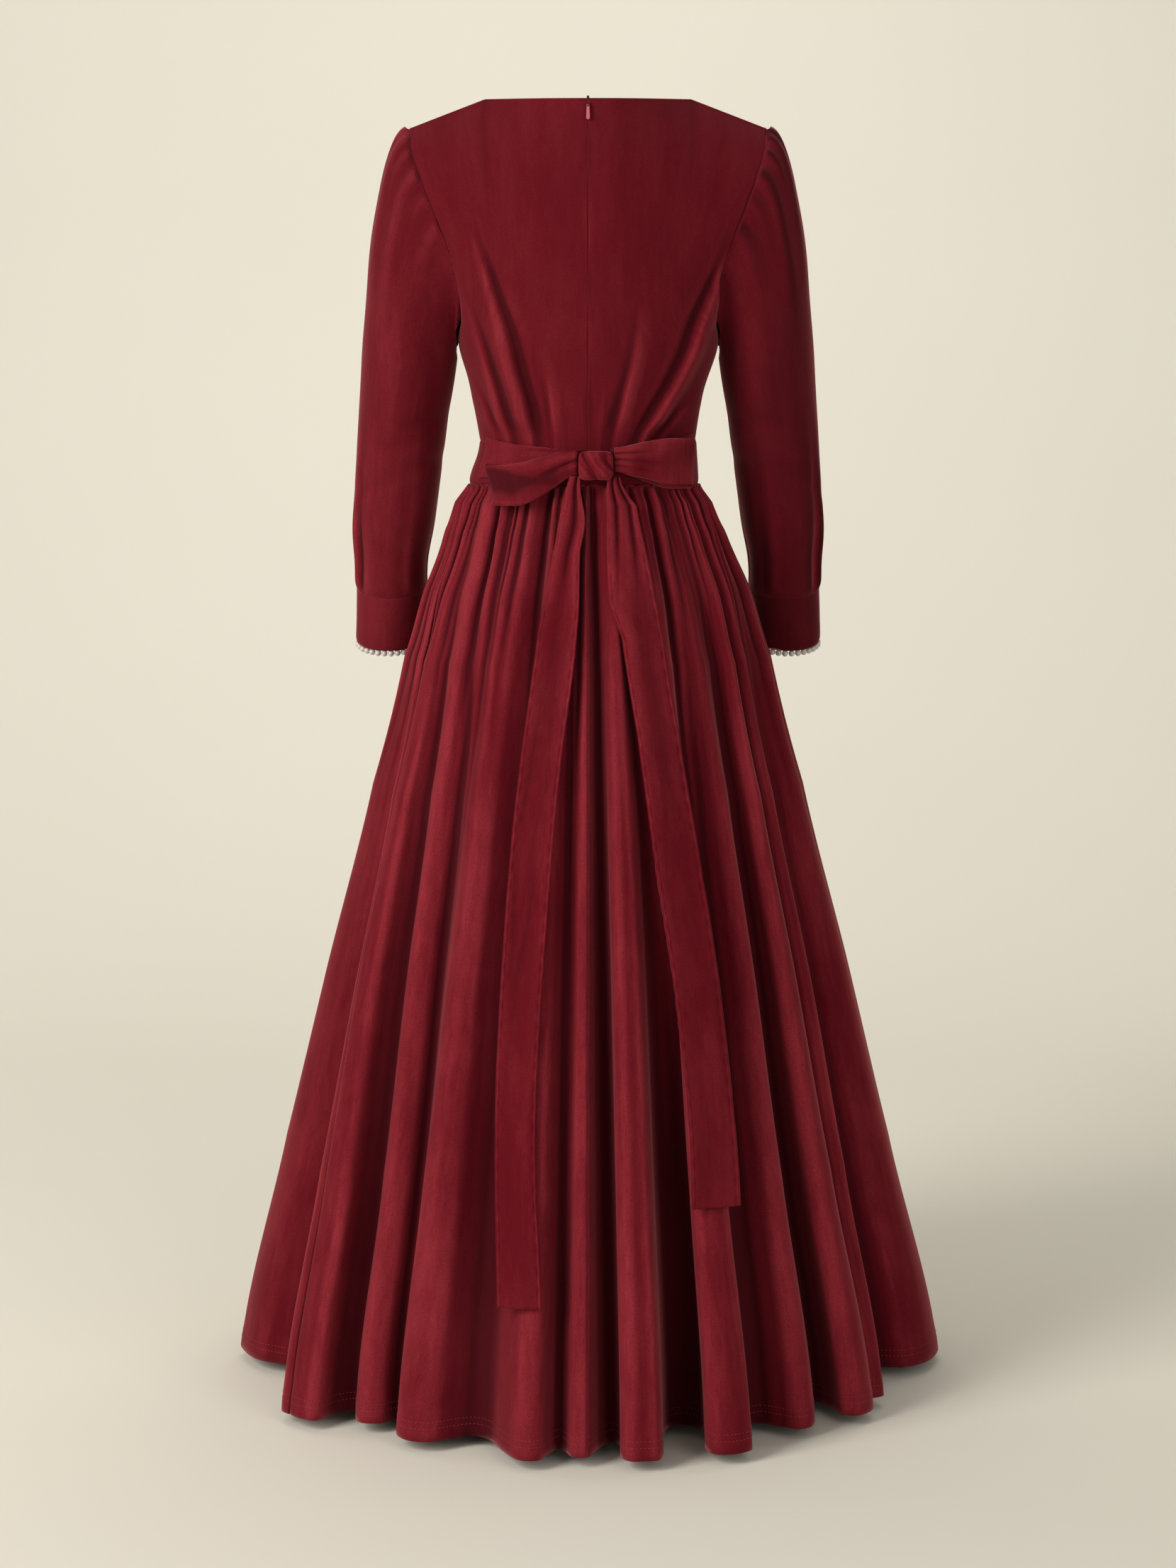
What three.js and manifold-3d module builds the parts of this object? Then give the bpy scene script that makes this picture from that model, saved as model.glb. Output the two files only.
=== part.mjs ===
// A floor-length velvet dress with long sleeves, a tied sash and an invisible back zip.
// It is filled out and hollow, as if worn. Units are millimetres and +Z is up. The back of the dress faces -Y,
// +X is the wearer's right, and the origin lies between the shoulders at the height of the back neck.
import * as THREE from "three";
import { mergeVertices } from "three/addons/utils/BufferGeometryUtils.js";
import Module from "manifold-3d";

const wasm = await Module();
wasm.setup();

// Driving sizes
const CLOTH = 2;
const SEAM_GAP = 0.4;
const LIE_GAP = 0.6;
const SHOULDER_TIP = { x: 185, y: -3, z: -25 };
const NECK_CORNER = { x: 106, y: -20, z: 3 };
const BACK_NECK_Y = -70;
const FRONT_NECK = { y: 76, z: -84 };
const WAIST_Z = -345;
const WAIST_DIP = 14;
const BAND_HEIGHT = 48;
const WAIST_TOP = { side: 112, back: 84, front: 96 };
const WAIST_FOOT = { side: 115, back: 88, front: 97 };
const SKIRT_TOP_Z = -394;
const HEM_Z = -1340;
const PEARL_RADIUS = 3.5;
const TAPE_HEIGHT = 2;
const TAPE_IN = 0.3;
const TAPE_OUT = 1.6;

// Body of the garment at each height: centre back and centre front
const TORSO = [
  { z: 0, back: 70, front: 60 },
  { z: -60, back: 88, front: 74 },
  { z: -150, back: 102, front: 100 },
  { z: -230, back: 100, front: 118 },
  { z: -290, back: 92, front: 110 },
  { z: WAIST_Z - WAIST_DIP, back: WAIST_TOP.back, front: WAIST_TOP.front },
];

// Side edge of the back and front bodice: round the armhole, then down the side seam
const SIDE_EDGE = [
  { z: SHOULDER_TIP.z, x: 185, back: 3, front: 3, sweep: 46 },
  { z: -52, x: 182, back: 26, front: 22, sweep: 48 },
  { z: -88, x: 169, back: 46, front: 42, sweep: 54 },
  { z: -120, x: 156, back: 56, front: 52, sweep: 60 },
  { z: -155, x: 142, back: 58, front: 56, sweep: 64 },
  { z: -190, x: 133, back: 50, front: 50, sweep: 70 },
  { z: -222, x: 131, back: 30, front: 30, sweep: 80 },
  { z: -247, x: 135, back: 0, front: 0, sweep: 90 },
  { z: -295, x: 121, back: 0, front: 0, sweep: 90 },
  { z: WAIST_Z, x: WAIST_TOP.side, back: 0, front: 0, sweep: 90 },
];
const UNDERARM_ROW = 7;
const BODICE_COLUMNS = 7;
const NECK_SHARE = 0.58;

// Skirt outline at each height: half the width, and the depths behind and before the middle
const SKIRT = [
  { z: SKIRT_TOP_Z, side: 117, back: 90, front: 99 },
  { z: -412, side: 130, back: 99, front: 106 },
  { z: -444, side: 145, back: 112, front: 116 },
  { z: -506, side: 172, back: 138, front: 136 },
  { z: -577, side: 194, back: 160, front: 156 },
  { z: -713, side: 229, back: 194, front: 188 },
  { z: -903, side: 278, back: 243, front: 236 },
  { z: -1100, side: 326, back: 295, front: 286 },
  { z: HEM_Z, side: 382, back: 364, front: 350 },
];

// The line of the hem from above, round from the wearer's left side over the back: the place of each
// point in degrees from the centre back, and how many mm it lies inside the plain round of the skirt
const HEM_LINE = [
  { at: -92, inside: 0 },
  { at: -84, inside: 22 },
  { at: -80, inside: 46 },
  { at: -75, inside: 76 },
  { at: -67, inside: 74 },
  { at: -61, inside: 34 },
  { at: -56, inside: 3 },
  { at: -53, inside: 0 },
  { at: -50, inside: 1 },
  { at: -47.6, inside: 10 },
  { at: -48.4, inside: 38 },
  { at: -47, inside: 60 },
  { at: -44.5, inside: 46 },
  { at: -41.5, inside: 37 },
  { at: -38.8, inside: 48 },
  { at: -37.6, inside: 70 },
  { at: -35, inside: 54 },
  { at: -33, inside: 32 },
  { at: -29.5, inside: 21 },
  { at: -26, inside: 26 },
  { at: -23.5, inside: 46 },
  { at: -20.5, inside: 59 },
  { at: -17, inside: 52 },
  { at: -13.6, inside: 26 },
  { at: -10.4, inside: 3 },
  { at: -7.5, inside: 3 },
  { at: -6.2, inside: 22 },
  { at: -5, inside: 38 },
  { at: -3.6, inside: 30 },
  { at: -2.4, inside: 16 },
  { at: 0, inside: 16 },
  { at: 2, inside: 44 },
  { at: 4.2, inside: 60 },
  { at: 5.6, inside: 44 },
  { at: 5, inside: 18 },
  { at: 6.2, inside: 2 },
  { at: 8.4, inside: 0 },
  { at: 10.6, inside: 2 },
  { at: 12, inside: 24 },
  { at: 13.4, inside: 62 },
  { at: 16, inside: 92 },
  { at: 19.4, inside: 98 },
  { at: 21.8, inside: 80 },
  { at: 20.8, inside: 54 },
  { at: 19, inside: 28 },
  { at: 19, inside: 8 },
  { at: 21, inside: 0 },
  { at: 23.4, inside: 0 },
  { at: 25.6, inside: 8 },
  { at: 27.4, inside: 40 },
  { at: 30.4, inside: 66 },
  { at: 33.6, inside: 68 },
  { at: 35.4, inside: 50 },
  { at: 37, inside: 33 },
  { at: 40, inside: 31 },
  { at: 44, inside: 50 },
  { at: 48, inside: 76 },
  { at: 50.8, inside: 80 },
  { at: 50, inside: 58 },
  { at: 48.2, inside: 34 },
  { at: 49.6, inside: 19 },
  { at: 53, inside: 18 },
  { at: 56, inside: 28 },
  { at: 57.8, inside: 46 },
  { at: 59.2, inside: 35 },
  { at: 61.5, inside: 31 },
  { at: 63.5, inside: 46 },
  { at: 67, inside: 74 },
  { at: 72.5, inside: 84 },
  { at: 77.2, inside: 64 },
  { at: 78.4, inside: 36 },
  { at: 82.5, inside: 12 },
  { at: 88, inside: 1 },
  { at: 93.5, inside: 0 },
  { at: 98.5, inside: 14 },
  { at: 102, inside: 42 },
  { at: 106.5, inside: 62 },
  { at: 111, inside: 50 },
  { at: 114, inside: 20 },
  { at: 118.5, inside: 0 },
  { at: 123.5, inside: 2 },
  { at: 127, inside: 22 },
  { at: 128.5, inside: 54 },
  { at: 132.5, inside: 80 },
  { at: 138, inside: 70 },
  { at: 140, inside: 36 },
  { at: 142.5, inside: 6 },
  { at: 147, inside: 0 },
  { at: 151.5, inside: 12 },
  { at: 154, inside: 42 },
  { at: 158.5, inside: 60 },
  { at: 163, inside: 44 },
  { at: 166, inside: 14 },
  { at: 171, inside: 0 },
  { at: 176, inside: 8 },
  { at: 178, inside: 40 },
  { at: 181, inside: 76 },
  { at: 186.5, inside: 86 },
  { at: 190, inside: 60 },
  { at: 190.5, inside: 24 },
  { at: 194.5, inside: 0 },
  { at: 199.5, inside: 6 },
  { at: 202.5, inside: 34 },
  { at: 207, inside: 56 },
  { at: 212, inside: 44 },
  { at: 215.5, inside: 14 },
  { at: 220.5, inside: 0 },
  { at: 225.5, inside: 10 },
  { at: 227.5, inside: 42 },
  { at: 231.5, inside: 70 },
  { at: 237, inside: 62 },
  { at: 239.5, inside: 30 },
  { at: 243, inside: 4 },
  { at: 248, inside: 0 },
  { at: 252, inside: 20 },
  { at: 256, inside: 46 },
  { at: 261, inside: 34 },
  { at: 264.5, inside: 10 },
];
const GATHER_REACH = 4;
const FOLD_GROWTH = { turn: 0.7, depth: 0.9 };
const SWING = { at: -52, spread: 16, turn: 12 };
const SEAMS_AT = { left: -53, back: 0, right: 56 };

// Sleeve rings below the cap: height, middle, half width, half depth and forward tilt in degrees
const ARM = [
  { z: -262, x: 190, y: 14, side: 49, deep: 57, tilt: 5 },
  { z: -326, x: 197.5, y: 28, side: 46, deep: 53, tilt: 8 },
  { z: -409, x: 207.5, y: 50, side: 43.5, deep: 48, tilt: 12 },
  { z: -455, x: 212, y: 62, side: 42.5, deep: 45, tilt: 14 },
  { z: -490, x: 214, y: 72, side: 40, deep: 41, tilt: 15 },
  { z: -507, x: 214, y: 77, side: 36.5, deep: 37, tilt: 16 },
];
const CUFF_TOP = { z: -507.5, x: 214, y: 77.15, side: 36.5, deep: 37, tilt: 16 };
const CUFF_FOOT = { z: -563, x: 218, y: 94, side: 35.5, deep: 35.5, tilt: 17 };
const CAP = { lift: 0.22, outward: 95, downward: 170 };
const UNDERARM_START = { x: 141.6, z: -249 };

// Hanging tails of the bow: the left and right edge at each height
const LEFT_TAIL = [
  { z: -396, left: -22, right: -7 },
  { z: -430, left: -30, right: -3 },
  { z: -461, left: -36, right: -8 },
  { z: -540, left: -51, right: -11 },
  { z: -690, left: -71, right: -29 },
  { z: -800, left: -82, right: -39 },
  { z: -950, left: -91, right: -49 },
  { z: -1057, left: -93, right: -52 },
  { z: -1197, left: -90, right: -46 },
];
const RIGHT_TAIL = [
  { z: -396, left: 19, right: 37 },
  { z: -414, left: 19, right: 50 },
  { z: -508, left: 21, right: 69 },
  { z: -546, left: 34, right: 77 },
  { z: -644, left: 50, right: 93 },
  { z: -790, left: 70, right: 117 },
  { z: -890, left: 86, right: 133 },
  { z: -1020, left: 100, right: 147 },
  { z: -1107, left: 103, right: 153 },
];

// Sash at the waist. Straps lie on the band, and the loops and the knot lie on the straps.
const STRAP = { sideZ: -345, knotZ: -360, sideWidth: 47, knotWidth: 27, leftStart: -66, rightStart: 84 };
const STRAP_OFF = CLOTH + LIE_GAP;
const KNOT = { x: 8, z: -373, halfWidth: 18.5, halfDepth: 9, halfHeight: 16 };
const LOOPS = [
  {
    name: "bow_loop_left",
    near: { x: -11.2, top: -360, foot: -384 },
    far: { topX: -104, topZ: -376, footX: -89, footZ: -416 },
    seat: 0.3,
  },
  {
    name: "bow_loop_right",
    near: { x: 27.2, top: -360, foot: -384 },
    far: { topX: 111, topZ: -351, footX: 108, footZ: -395 },
    seat: 0.7,
  },
];

const LOOP = { puff: 15, bandRound: 125, skirtRound: 8, skirtLift: 1.5, ends: 0.02, pinch: 0.11, fullness: 0.8 };

// Zip: the tape inside the back, and the hardware at the back neck
const ZIP_TAPE = { half: 11, inside: 2.3, top: -3, thick: 1 };
const ZIP_HEIGHT = 7.5;
const SLIDER = { width: 3, height: 5.5, thick: 1.2 };
const BRIDGE = { inner: 0.75, outer: 1.55, width: 1, standOff: 0.8 };
const PULL = { length: 17.6, width: 3.75, thick: 0.8, bar: 0.4, slot: 2.1, slotWidth: 1.6, headWidth: 2.8 };
const TOP_STOP = { width: 2.6, low: 6.8, high: 10.2, thick: 1 };

const VELVET = new THREE.MeshStandardMaterial({ color: 0x69121b, roughness: 0.85, metalness: 0 });
const PEARL = new THREE.MeshStandardMaterial({ color: 0xe6ddd8, roughness: 0.25, metalness: 0 });
const TAPE = new THREE.MeshStandardMaterial({ color: 0xcbb0ae, roughness: 0.8, metalness: 0 });
const ZIP_DARK = new THREE.MeshStandardMaterial({ color: 0x3a1014, roughness: 0.5, metalness: 0.4 });
const ZIP_PULL = new THREE.MeshStandardMaterial({ color: 0xb0525c, roughness: 0.35, metalness: 0.3 });

const radians = THREE.MathUtils.degToRad;
const lerp = THREE.MathUtils.lerp;
const dress = new THREE.Group();
dress.name = "maxi_dress";

// Value of a table's column at a place along its key column
function lookUp(table, key, place, column) {
  const rising = table[table.length - 1][key] > table[0][key];
  for (let i = 1; i < table.length; i++) {
    const passed = rising ? table[i][key] >= place : table[i][key] <= place;
    if (passed || i === table.length - 1) {
      const share = (place - table[i - 1][key]) / (table[i][key] - table[i - 1][key]);
      return lerp(table[i - 1][column], table[i][column], share);
    }
  }
  return table[0][column];
}

// Value of a table's column at a share of its rows, from 0 at the first to 1 at the last
function rowValue(table, share, column) {
  const place = share * (table.length - 1);
  const row = Math.min(table.length - 2, Math.max(0, Math.floor(place)));
  return lerp(table[row][column], table[row + 1][column], place - row);
}

function evenStops(count) {
  return Array.from({ length: count + 1 }, (unused, i) => i / count);
}

// A wall of cloth. place(u, v) gives a point, with v = 0 at the top, and the wall fills the space from
// inner to outer along the normal that points to the outside. A closed wall meets itself at u = 0 and 1.
function makeWall(name, place, across, down, inner, outer, closed, mirrored, material) {
  const rows = down.length - 1;
  const columns = across.length - 1;
  let shape;
  if (closed) {
    const profile = [];
    for (let i = 0; i <= rows; i++) profile.push(new THREE.Vector2(2, i));
    for (let i = rows; i >= 0; i--) profile.push(new THREE.Vector2(1, i));
    profile.push(new THREE.Vector2(2, 0));
    shape = new THREE.LatheGeometry(profile, columns);
  } else {
    shape = new THREE.BoxGeometry(columns, rows, 1, columns, rows, 1);
  }
  shape.deleteAttribute("normal");
  shape.deleteAttribute("uv");
  shape = mergeVertices(shape, 1e-3);
  const points = shape.getAttribute("position");
  const step = 1e-3;
  for (let i = 0; i < points.count; i++) {
    const raw = new THREE.Vector3().fromBufferAttribute(points, i);
    let column = Math.round(raw.x + columns / 2);
    let row = Math.round(rows / 2 - raw.y);
    let side = raw.z > 0 ? outer : inner;
    if (closed) {
      const turn = Math.atan2(raw.x, raw.z) / (2 * Math.PI);
      column = Math.round((turn < -1e-6 ? turn + 1 : turn) * columns) % columns;
      row = rows - Math.round(raw.y);
      side = Math.hypot(raw.x, raw.z) > 1.5 ? outer : inner;
    }
    const u = across[column];
    const v = down[row];
    const low = closed ? u - step : Math.max(across[0], u - step);
    const high = closed ? u + step : Math.min(across[columns], u + step);
    const over = Math.max(down[0], v - step);
    const under = Math.min(down[rows], v + step);
    const along = place(high, v).sub(place(low, v));
    const upward = place(u, over).sub(place(u, under));
    const normal = along.cross(upward).normalize();
    const point = place(u, v).addScaledVector(normal, side);
    points.setXYZ(i, mirrored ? -point.x : point.x, point.y, point.z);
  }
  if (mirrored) {
    const faces = shape.getIndex();
    for (let i = 0; i < faces.count; i += 3) {
      const first = faces.getX(i);
      faces.setX(i, faces.getX(i + 1));
      faces.setX(i + 1, first);
    }
  }
  addMesh(name, shape, material, dress);
}

function addMesh(name, shape, material, group) {
  const mesh = new THREE.Mesh(shape, material);
  mesh.name = name;
  group.add(mesh);
  return mesh;
}

// Top edge of the bodice as seen from one side: the neck edge to its corner, then the shoulder seam
function topEdge(u, front) {
  const out = new THREE.Vector3();
  if (u < NECK_SHARE) {
    const turn = (u / NECK_SHARE) * (Math.PI / 2);
    if (front) {
      out.x = NECK_CORNER.x * Math.sin(turn);
      out.y = lerp(NECK_CORNER.y, FRONT_NECK.y, Math.cos(turn));
      out.z = lerp(NECK_CORNER.z, FRONT_NECK.z, Math.cos(turn) ** 1.3);
    } else {
      out.x = (NECK_CORNER.x * u) / NECK_SHARE;
      out.y = lerp(NECK_CORNER.y, BACK_NECK_Y, Math.cos(turn));
      out.z = NECK_CORNER.z * (u / NECK_SHARE) ** 2;
    }
    return out;
  }
  const along = (u - NECK_SHARE) / (1 - NECK_SHARE);
  out.set(
    lerp(NECK_CORNER.x, SHOULDER_TIP.x, along),
    lerp(NECK_CORNER.y, SHOULDER_TIP.y, along),
    lerp(NECK_CORNER.z, SHOULDER_TIP.z, along),
  );
  return out;
}

// A row of the bodice before the neck and shoulder are cut: from the centre to the side edge
function bodiceRow(u, v, front) {
  const sweep = radians(rowValue(SIDE_EDGE, v, "sweep"));
  const edgeZ = rowValue(SIDE_EDGE, v, "z");
  const edgeY = rowValue(SIDE_EDGE, v, front ? "front" : "back");
  const topZ = front ? FRONT_NECK.z : 0;
  const centreZ = lerp(topZ, WAIST_Z - WAIST_DIP, (edgeZ - SHOULDER_TIP.z) / (WAIST_Z - SHOULDER_TIP.z));
  const centreY = lookUp(TORSO, "z", centreZ, front ? "front" : "back");
  const bow = (1 - Math.cos(u * sweep)) / (1 - Math.cos(sweep));
  return new THREE.Vector3(
    (rowValue(SIDE_EDGE, v, "x") * Math.sin(u * sweep)) / Math.sin(sweep),
    (front ? 1 : -1) * (lerp(centreY, edgeY, bow) + SEAM_GAP / 2),
    lerp(centreZ, edgeZ, bow),
  );
}

function bodicePoint(u, v, front) {
  const point = bodiceRow(u, v, front);
  const fade = Math.max(0, 1 - v * 1.6) ** 2;
  if (fade > 0) {
    const cut = topEdge(Math.abs(u), front);
    cut.y += ((front ? 1 : -1) * SEAM_GAP) / 2;
    if (u < 0) cut.x = -cut.x;
    point.addScaledVector(cut.sub(bodiceRow(u, 0, front)), fade);
  }
  return point;
}

// Bodice
const bodiceRows = evenStops(SIDE_EDGE.length - 1);
const halfColumns = evenStops(BODICE_COLUMNS);
for (const side of ["left", "right"]) {
  const halfBack = (u, v) => {
    const point = bodicePoint(u, v, false);
    point.x += (1 - u) * (SEAM_GAP / 2);
    return point;
  };
  makeWall("bodice_back_" + side, halfBack, halfColumns, bodiceRows, 0, CLOTH, false, side === "left", VELVET);
}
const frontColumns = [...halfColumns.slice(1).map((u) => -u).reverse(), ...halfColumns];
const frontPlace = (u, v) => bodicePoint(-u, v, true);
makeWall("bodice_front", frontPlace, frontColumns, bodiceRows, 0, CLOTH, false, false, VELVET);

// Point on an oval ring that leans forward. Turn 0 is outward, 90 is to the back, 180 is to the body.
function ringPoint(ring, turn) {
  const tilt = radians(ring.tilt);
  const away = ring.deep * Math.sin(turn);
  return new THREE.Vector3(
    ring.x + ring.side * Math.cos(turn),
    ring.y - away * Math.cos(tilt),
    ring.z - away * Math.sin(tilt),
  );
}

function blendRings(first, second, share) {
  const out = {};
  for (const key of Object.keys(first)) out[key] = lerp(first[key], second[key], share);
  return out;
}

// Armhole edge of the bodice that the sleeve head follows, and the way in which the cloth runs off it
function armholeEdge(turn) {
  const front = turn > Math.PI;
  const round = front ? 2 * Math.PI - turn : turn;
  const v = ((round / Math.PI) * UNDERARM_ROW) / (SIDE_EDGE.length - 1);
  const edge = bodicePoint(1, v, front);
  const heading = edge.clone().sub(bodicePoint(0.97, v, front)).normalize();
  const under = THREE.MathUtils.smoothstep(round, 0.72 * Math.PI, Math.PI);
  const head = 1 - THREE.MathUtils.smoothstep(round, 0, 0.35 * Math.PI);
  edge.addScaledVector(heading, LIE_GAP);
  edge.x = lerp(edge.x, UNDERARM_START.x, under);
  edge.z = lerp(edge.z, UNDERARM_START.z, under ** 3);
  heading.lerp(new THREE.Vector3(1, 0, CAP.lift), 0.35 + 0.65 * head);
  heading.lerp(new THREE.Vector3(0.1, 0, -0.4), under);
  return { edge, heading };
}

// Sleeve surface: the cap for v up to CAP_SHARE, then the arm down to the cuff seam
const CAP_SHARE = 0.45;
function sleevePoint(u, v) {
  const turn = (((u % 1) + 1) % 1) * 2 * Math.PI;
  if (v > CAP_SHARE) {
    const place = ((v - CAP_SHARE) / (1 - CAP_SHARE)) * (ARM.length - 1);
    const row = Math.min(ARM.length - 2, Math.floor(place));
    return ringPoint(blendRings(ARM[row], ARM[row + 1], place - row), turn);
  }
  const share = v / CAP_SHARE;
  const { edge, heading } = armholeEdge(turn);
  const foot = ringPoint(ARM[0], turn);
  const reach = edge.distanceTo(foot);
  const startPull = heading.multiplyScalar(Math.min(CAP.outward, reach * 0.75));
  const endPull = new THREE.Vector3(0.08, 0.18, -1).multiplyScalar(Math.min(CAP.downward, reach * 0.9));
  const s2 = share * share;
  const s3 = s2 * share;
  return new THREE.Vector3()
    .addScaledVector(edge, 2 * s3 - 3 * s2 + 1)
    .addScaledVector(startPull, s3 - 2 * s2 + share)
    .addScaledVector(foot, 3 * s2 - 2 * s3)
    .addScaledVector(endPull, s3 - s2);
}

// Sleeves, cuffs, tapes and pearl rows
const SLEEVE_COLUMNS = 16;
const PEARL_SIDES = 6;
const CAP_ROWS = 5;
const sleeveRows = [
  ...evenStops(CAP_ROWS).map((v) => v * CAP_SHARE),
  ...evenStops(ARM.length - 1).slice(1).map((v) => CAP_SHARE + v * (1 - CAP_SHARE)),
];
const cuffPlace = (u, v) => ringPoint(blendRings(CUFF_TOP, CUFF_FOOT, v), u * 2 * Math.PI);
const cuffLength = Math.hypot(CUFF_TOP.z - CUFF_FOOT.z, CUFF_TOP.y - CUFF_FOOT.y);
const tapeStart = 1 + SEAM_GAP / cuffLength;
const tapeEnd = tapeStart + TAPE_HEIGHT / cuffLength;
const pearlPlace = tapeEnd + (SEAM_GAP + PEARL_RADIUS) / cuffLength;
for (const side of ["left", "right"]) {
  const mirrored = side === "left";
  const round = evenStops(SLEEVE_COLUMNS);
  makeWall("sleeve_" + side, sleevePoint, round, sleeveRows, 0, CLOTH, true, mirrored, VELVET);
  makeWall("cuff_" + side, cuffPlace, round, [0, 1], 0, CLOTH, true, mirrored, VELVET);
  const tapeRows = [tapeStart, tapeEnd];
  makeWall("pearl_tape_" + side, cuffPlace, round, tapeRows, TAPE_IN, TAPE_OUT, true, mirrored, TAPE);
  const ring = blendRings(CUFF_TOP, CUFF_FOOT, pearlPlace);
  const section = evenStops(PEARL_SIDES).map((share) => {
    const turn = (share % 1) * 2 * Math.PI;
    return new THREE.Vector2(
      CUFF_FOOT.side + CLOTH / 2 + PEARL_RADIUS * Math.cos(turn),
      PEARL_RADIUS * Math.sin(turn),
    );
  });
  const beads = new THREE.LatheGeometry(section, 24);
  beads.rotateX(Math.PI / 2 + radians(CUFF_FOOT.tilt));
  const trim = addMesh("pearl_trim_" + side, beads, PEARL, dress);
  trim.position.set(mirrored ? -ring.x : ring.x, ring.y, ring.z);
}

// Oval round the waist: angle 0 is centre back and grows toward +X
function waistPoint(angle, z, off) {
  const turn = radians(angle);
  const half = Math.cos(turn) > 0 ? "back" : "front";
  const down = (WAIST_Z - z) / BAND_HEIGHT;
  const across = lerp(WAIST_TOP.side, WAIST_FOOT.side, down);
  const deep = lerp(WAIST_TOP[half], WAIST_FOOT[half], down);
  return new THREE.Vector3((across + off) * Math.sin(turn), -(deep + off) * Math.cos(turn), z);
}

function waistDip(angle) {
  return WAIST_DIP * Math.abs(Math.cos(radians(angle)));
}

// Waistband
const BAND_PIECES = [
  { name: "waistband_back_left", from: -90, to: 0, columns: 8 },
  { name: "waistband_back_right", from: 0, to: 90, columns: 8 },
  { name: "waistband_front", from: 90, to: 270, columns: 14 },
];
const seamTurn = THREE.MathUtils.radToDeg(SEAM_GAP / 2 / WAIST_TOP.side);
for (const piece of BAND_PIECES) {
  const place = (u, v) => {
    const angle = lerp(piece.from + seamTurn, piece.to - seamTurn, u);
    const top = WAIST_Z - waistDip(angle) - 2 * SEAM_GAP;
    const foot = SKIRT_TOP_Z + SEAM_GAP;
    return waistPoint(angle, lerp(top, foot, v), 0);
  };
  makeWall(piece.name, place, evenStops(piece.columns), [0, 1], 0, CLOTH, false, false, VELVET);
}

// A column of the hem line at a row and the share of the way to the next, round and round
function hemLine(place, column) {
  const count = HEM_LINE.length;
  const row = Math.floor(place);
  const value = (i) => {
    const lap = column === "at" ? 360 * Math.floor(i / count) : 0;
    return HEM_LINE[((i % count) + count) % count][column] + lap;
  };
  return lerp(value(row), value(row + 1), place - row);
}

// The place at the waist where a point of the hem comes from, since the gathers spread it evenly.
// The folds at the left swing forward as they fall, so they start further out.
function waistStart(place) {
  let sum = 0;
  for (let i = -GATHER_REACH; i <= GATHER_REACH; i++) sum += hemLine(place + i, "at");
  const mean = sum / (2 * GATHER_REACH + 1);
  const apart = ((mean - SWING.at + 540) % 360) - 180;
  return mean - SWING.turn * Math.exp(-((apart / SWING.spread) ** 2));
}

// Point of the skirt at a place on the hem line and a height
function skirtPoint(place, z) {
  const height = (SKIRT_TOP_Z - z) / (SKIRT_TOP_Z - HEM_Z);
  const angle = lerp(waistStart(place), hemLine(place, "at"), height ** FOLD_GROWTH.turn);
  const inside = hemLine(place, "inside") * height ** FOLD_GROWTH.depth;
  const turn = radians(angle);
  const side = lookUp(SKIRT, "z", z, "side");
  const deep = lookUp(SKIRT, "z", z, Math.cos(turn) > 0 ? "back" : "front");
  return new THREE.Vector3((side - inside) * Math.sin(turn), (inside - deep) * Math.cos(turn), z);
}

// Wall of a skirt panel between two rows of the hem line. Its outward way stays level, so the hem is flat,
// and each side stops short of its seam.
function addSkirtPanel(name, from, to) {
  const heights = SKIRT.map((row) => row.z);
  const columns = to - from;
  const rows = heights.length - 1;
  let shape = new THREE.BoxGeometry(columns, rows, 1, columns, rows, 1);
  shape.deleteAttribute("normal");
  shape.deleteAttribute("uv");
  shape = mergeVertices(shape, 1e-3);
  const points = shape.getAttribute("position");
  for (let i = 0; i < points.count; i++) {
    const column = Math.round(points.getX(i) + columns / 2);
    const z = heights[Math.round(rows / 2 - points.getY(i))];
    const off = points.getZ(i) > 0 ? CLOTH : 0;
    const along = skirtPoint(from + column + 0.3, z).sub(skirtPoint(from + column - 0.3, z)).normalize();
    const outward = new THREE.Vector3(along.y, -along.x, 0);
    const short = column === 0 ? SEAM_GAP / 2 : column === columns ? -SEAM_GAP / 2 : 0;
    const point = skirtPoint(from + column, z).addScaledVector(outward, off).addScaledVector(along, short);
    points.setXYZ(i, point.x, point.y, point.z);
  }
  addMesh(name, shape, VELVET, dress);
}

// Skirt panels
const leftSeam = HEM_LINE.findIndex((row) => row.at === SEAMS_AT.left);
const backSeam = HEM_LINE.findIndex((row) => row.at === SEAMS_AT.back);
const rightSeam = HEM_LINE.findIndex((row) => row.at === SEAMS_AT.right);
addSkirtPanel("skirt_back_left", leftSeam, backSeam);
addSkirtPanel("skirt_back_right", backSeam, rightSeam);
addSkirtPanel("skirt_front", rightSeam, leftSeam + HEM_LINE.length);

// Sash straps from the side seams to the knot
const STRAPS = [
  { name: "sash_strap_left", from: STRAP.leftStart, to: -7 },
  { name: "sash_strap_right", from: 11, to: STRAP.rightStart },
];
for (const strap of STRAPS) {
  const place = (u, v) => {
    const angle = lerp(strap.from, strap.to, u);
    const nearKnot = Math.cos(radians(angle)) ** 1.5;
    const top = lerp(STRAP.sideZ, STRAP.knotZ, nearKnot);
    const width = lerp(STRAP.sideWidth, STRAP.knotWidth, nearKnot);
    return waistPoint(angle, top - width * v, STRAP_OFF);
  };
  makeWall(strap.name, place, evenStops(8), [0, 1], 0, CLOTH, false, false, VELVET);
}

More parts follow.
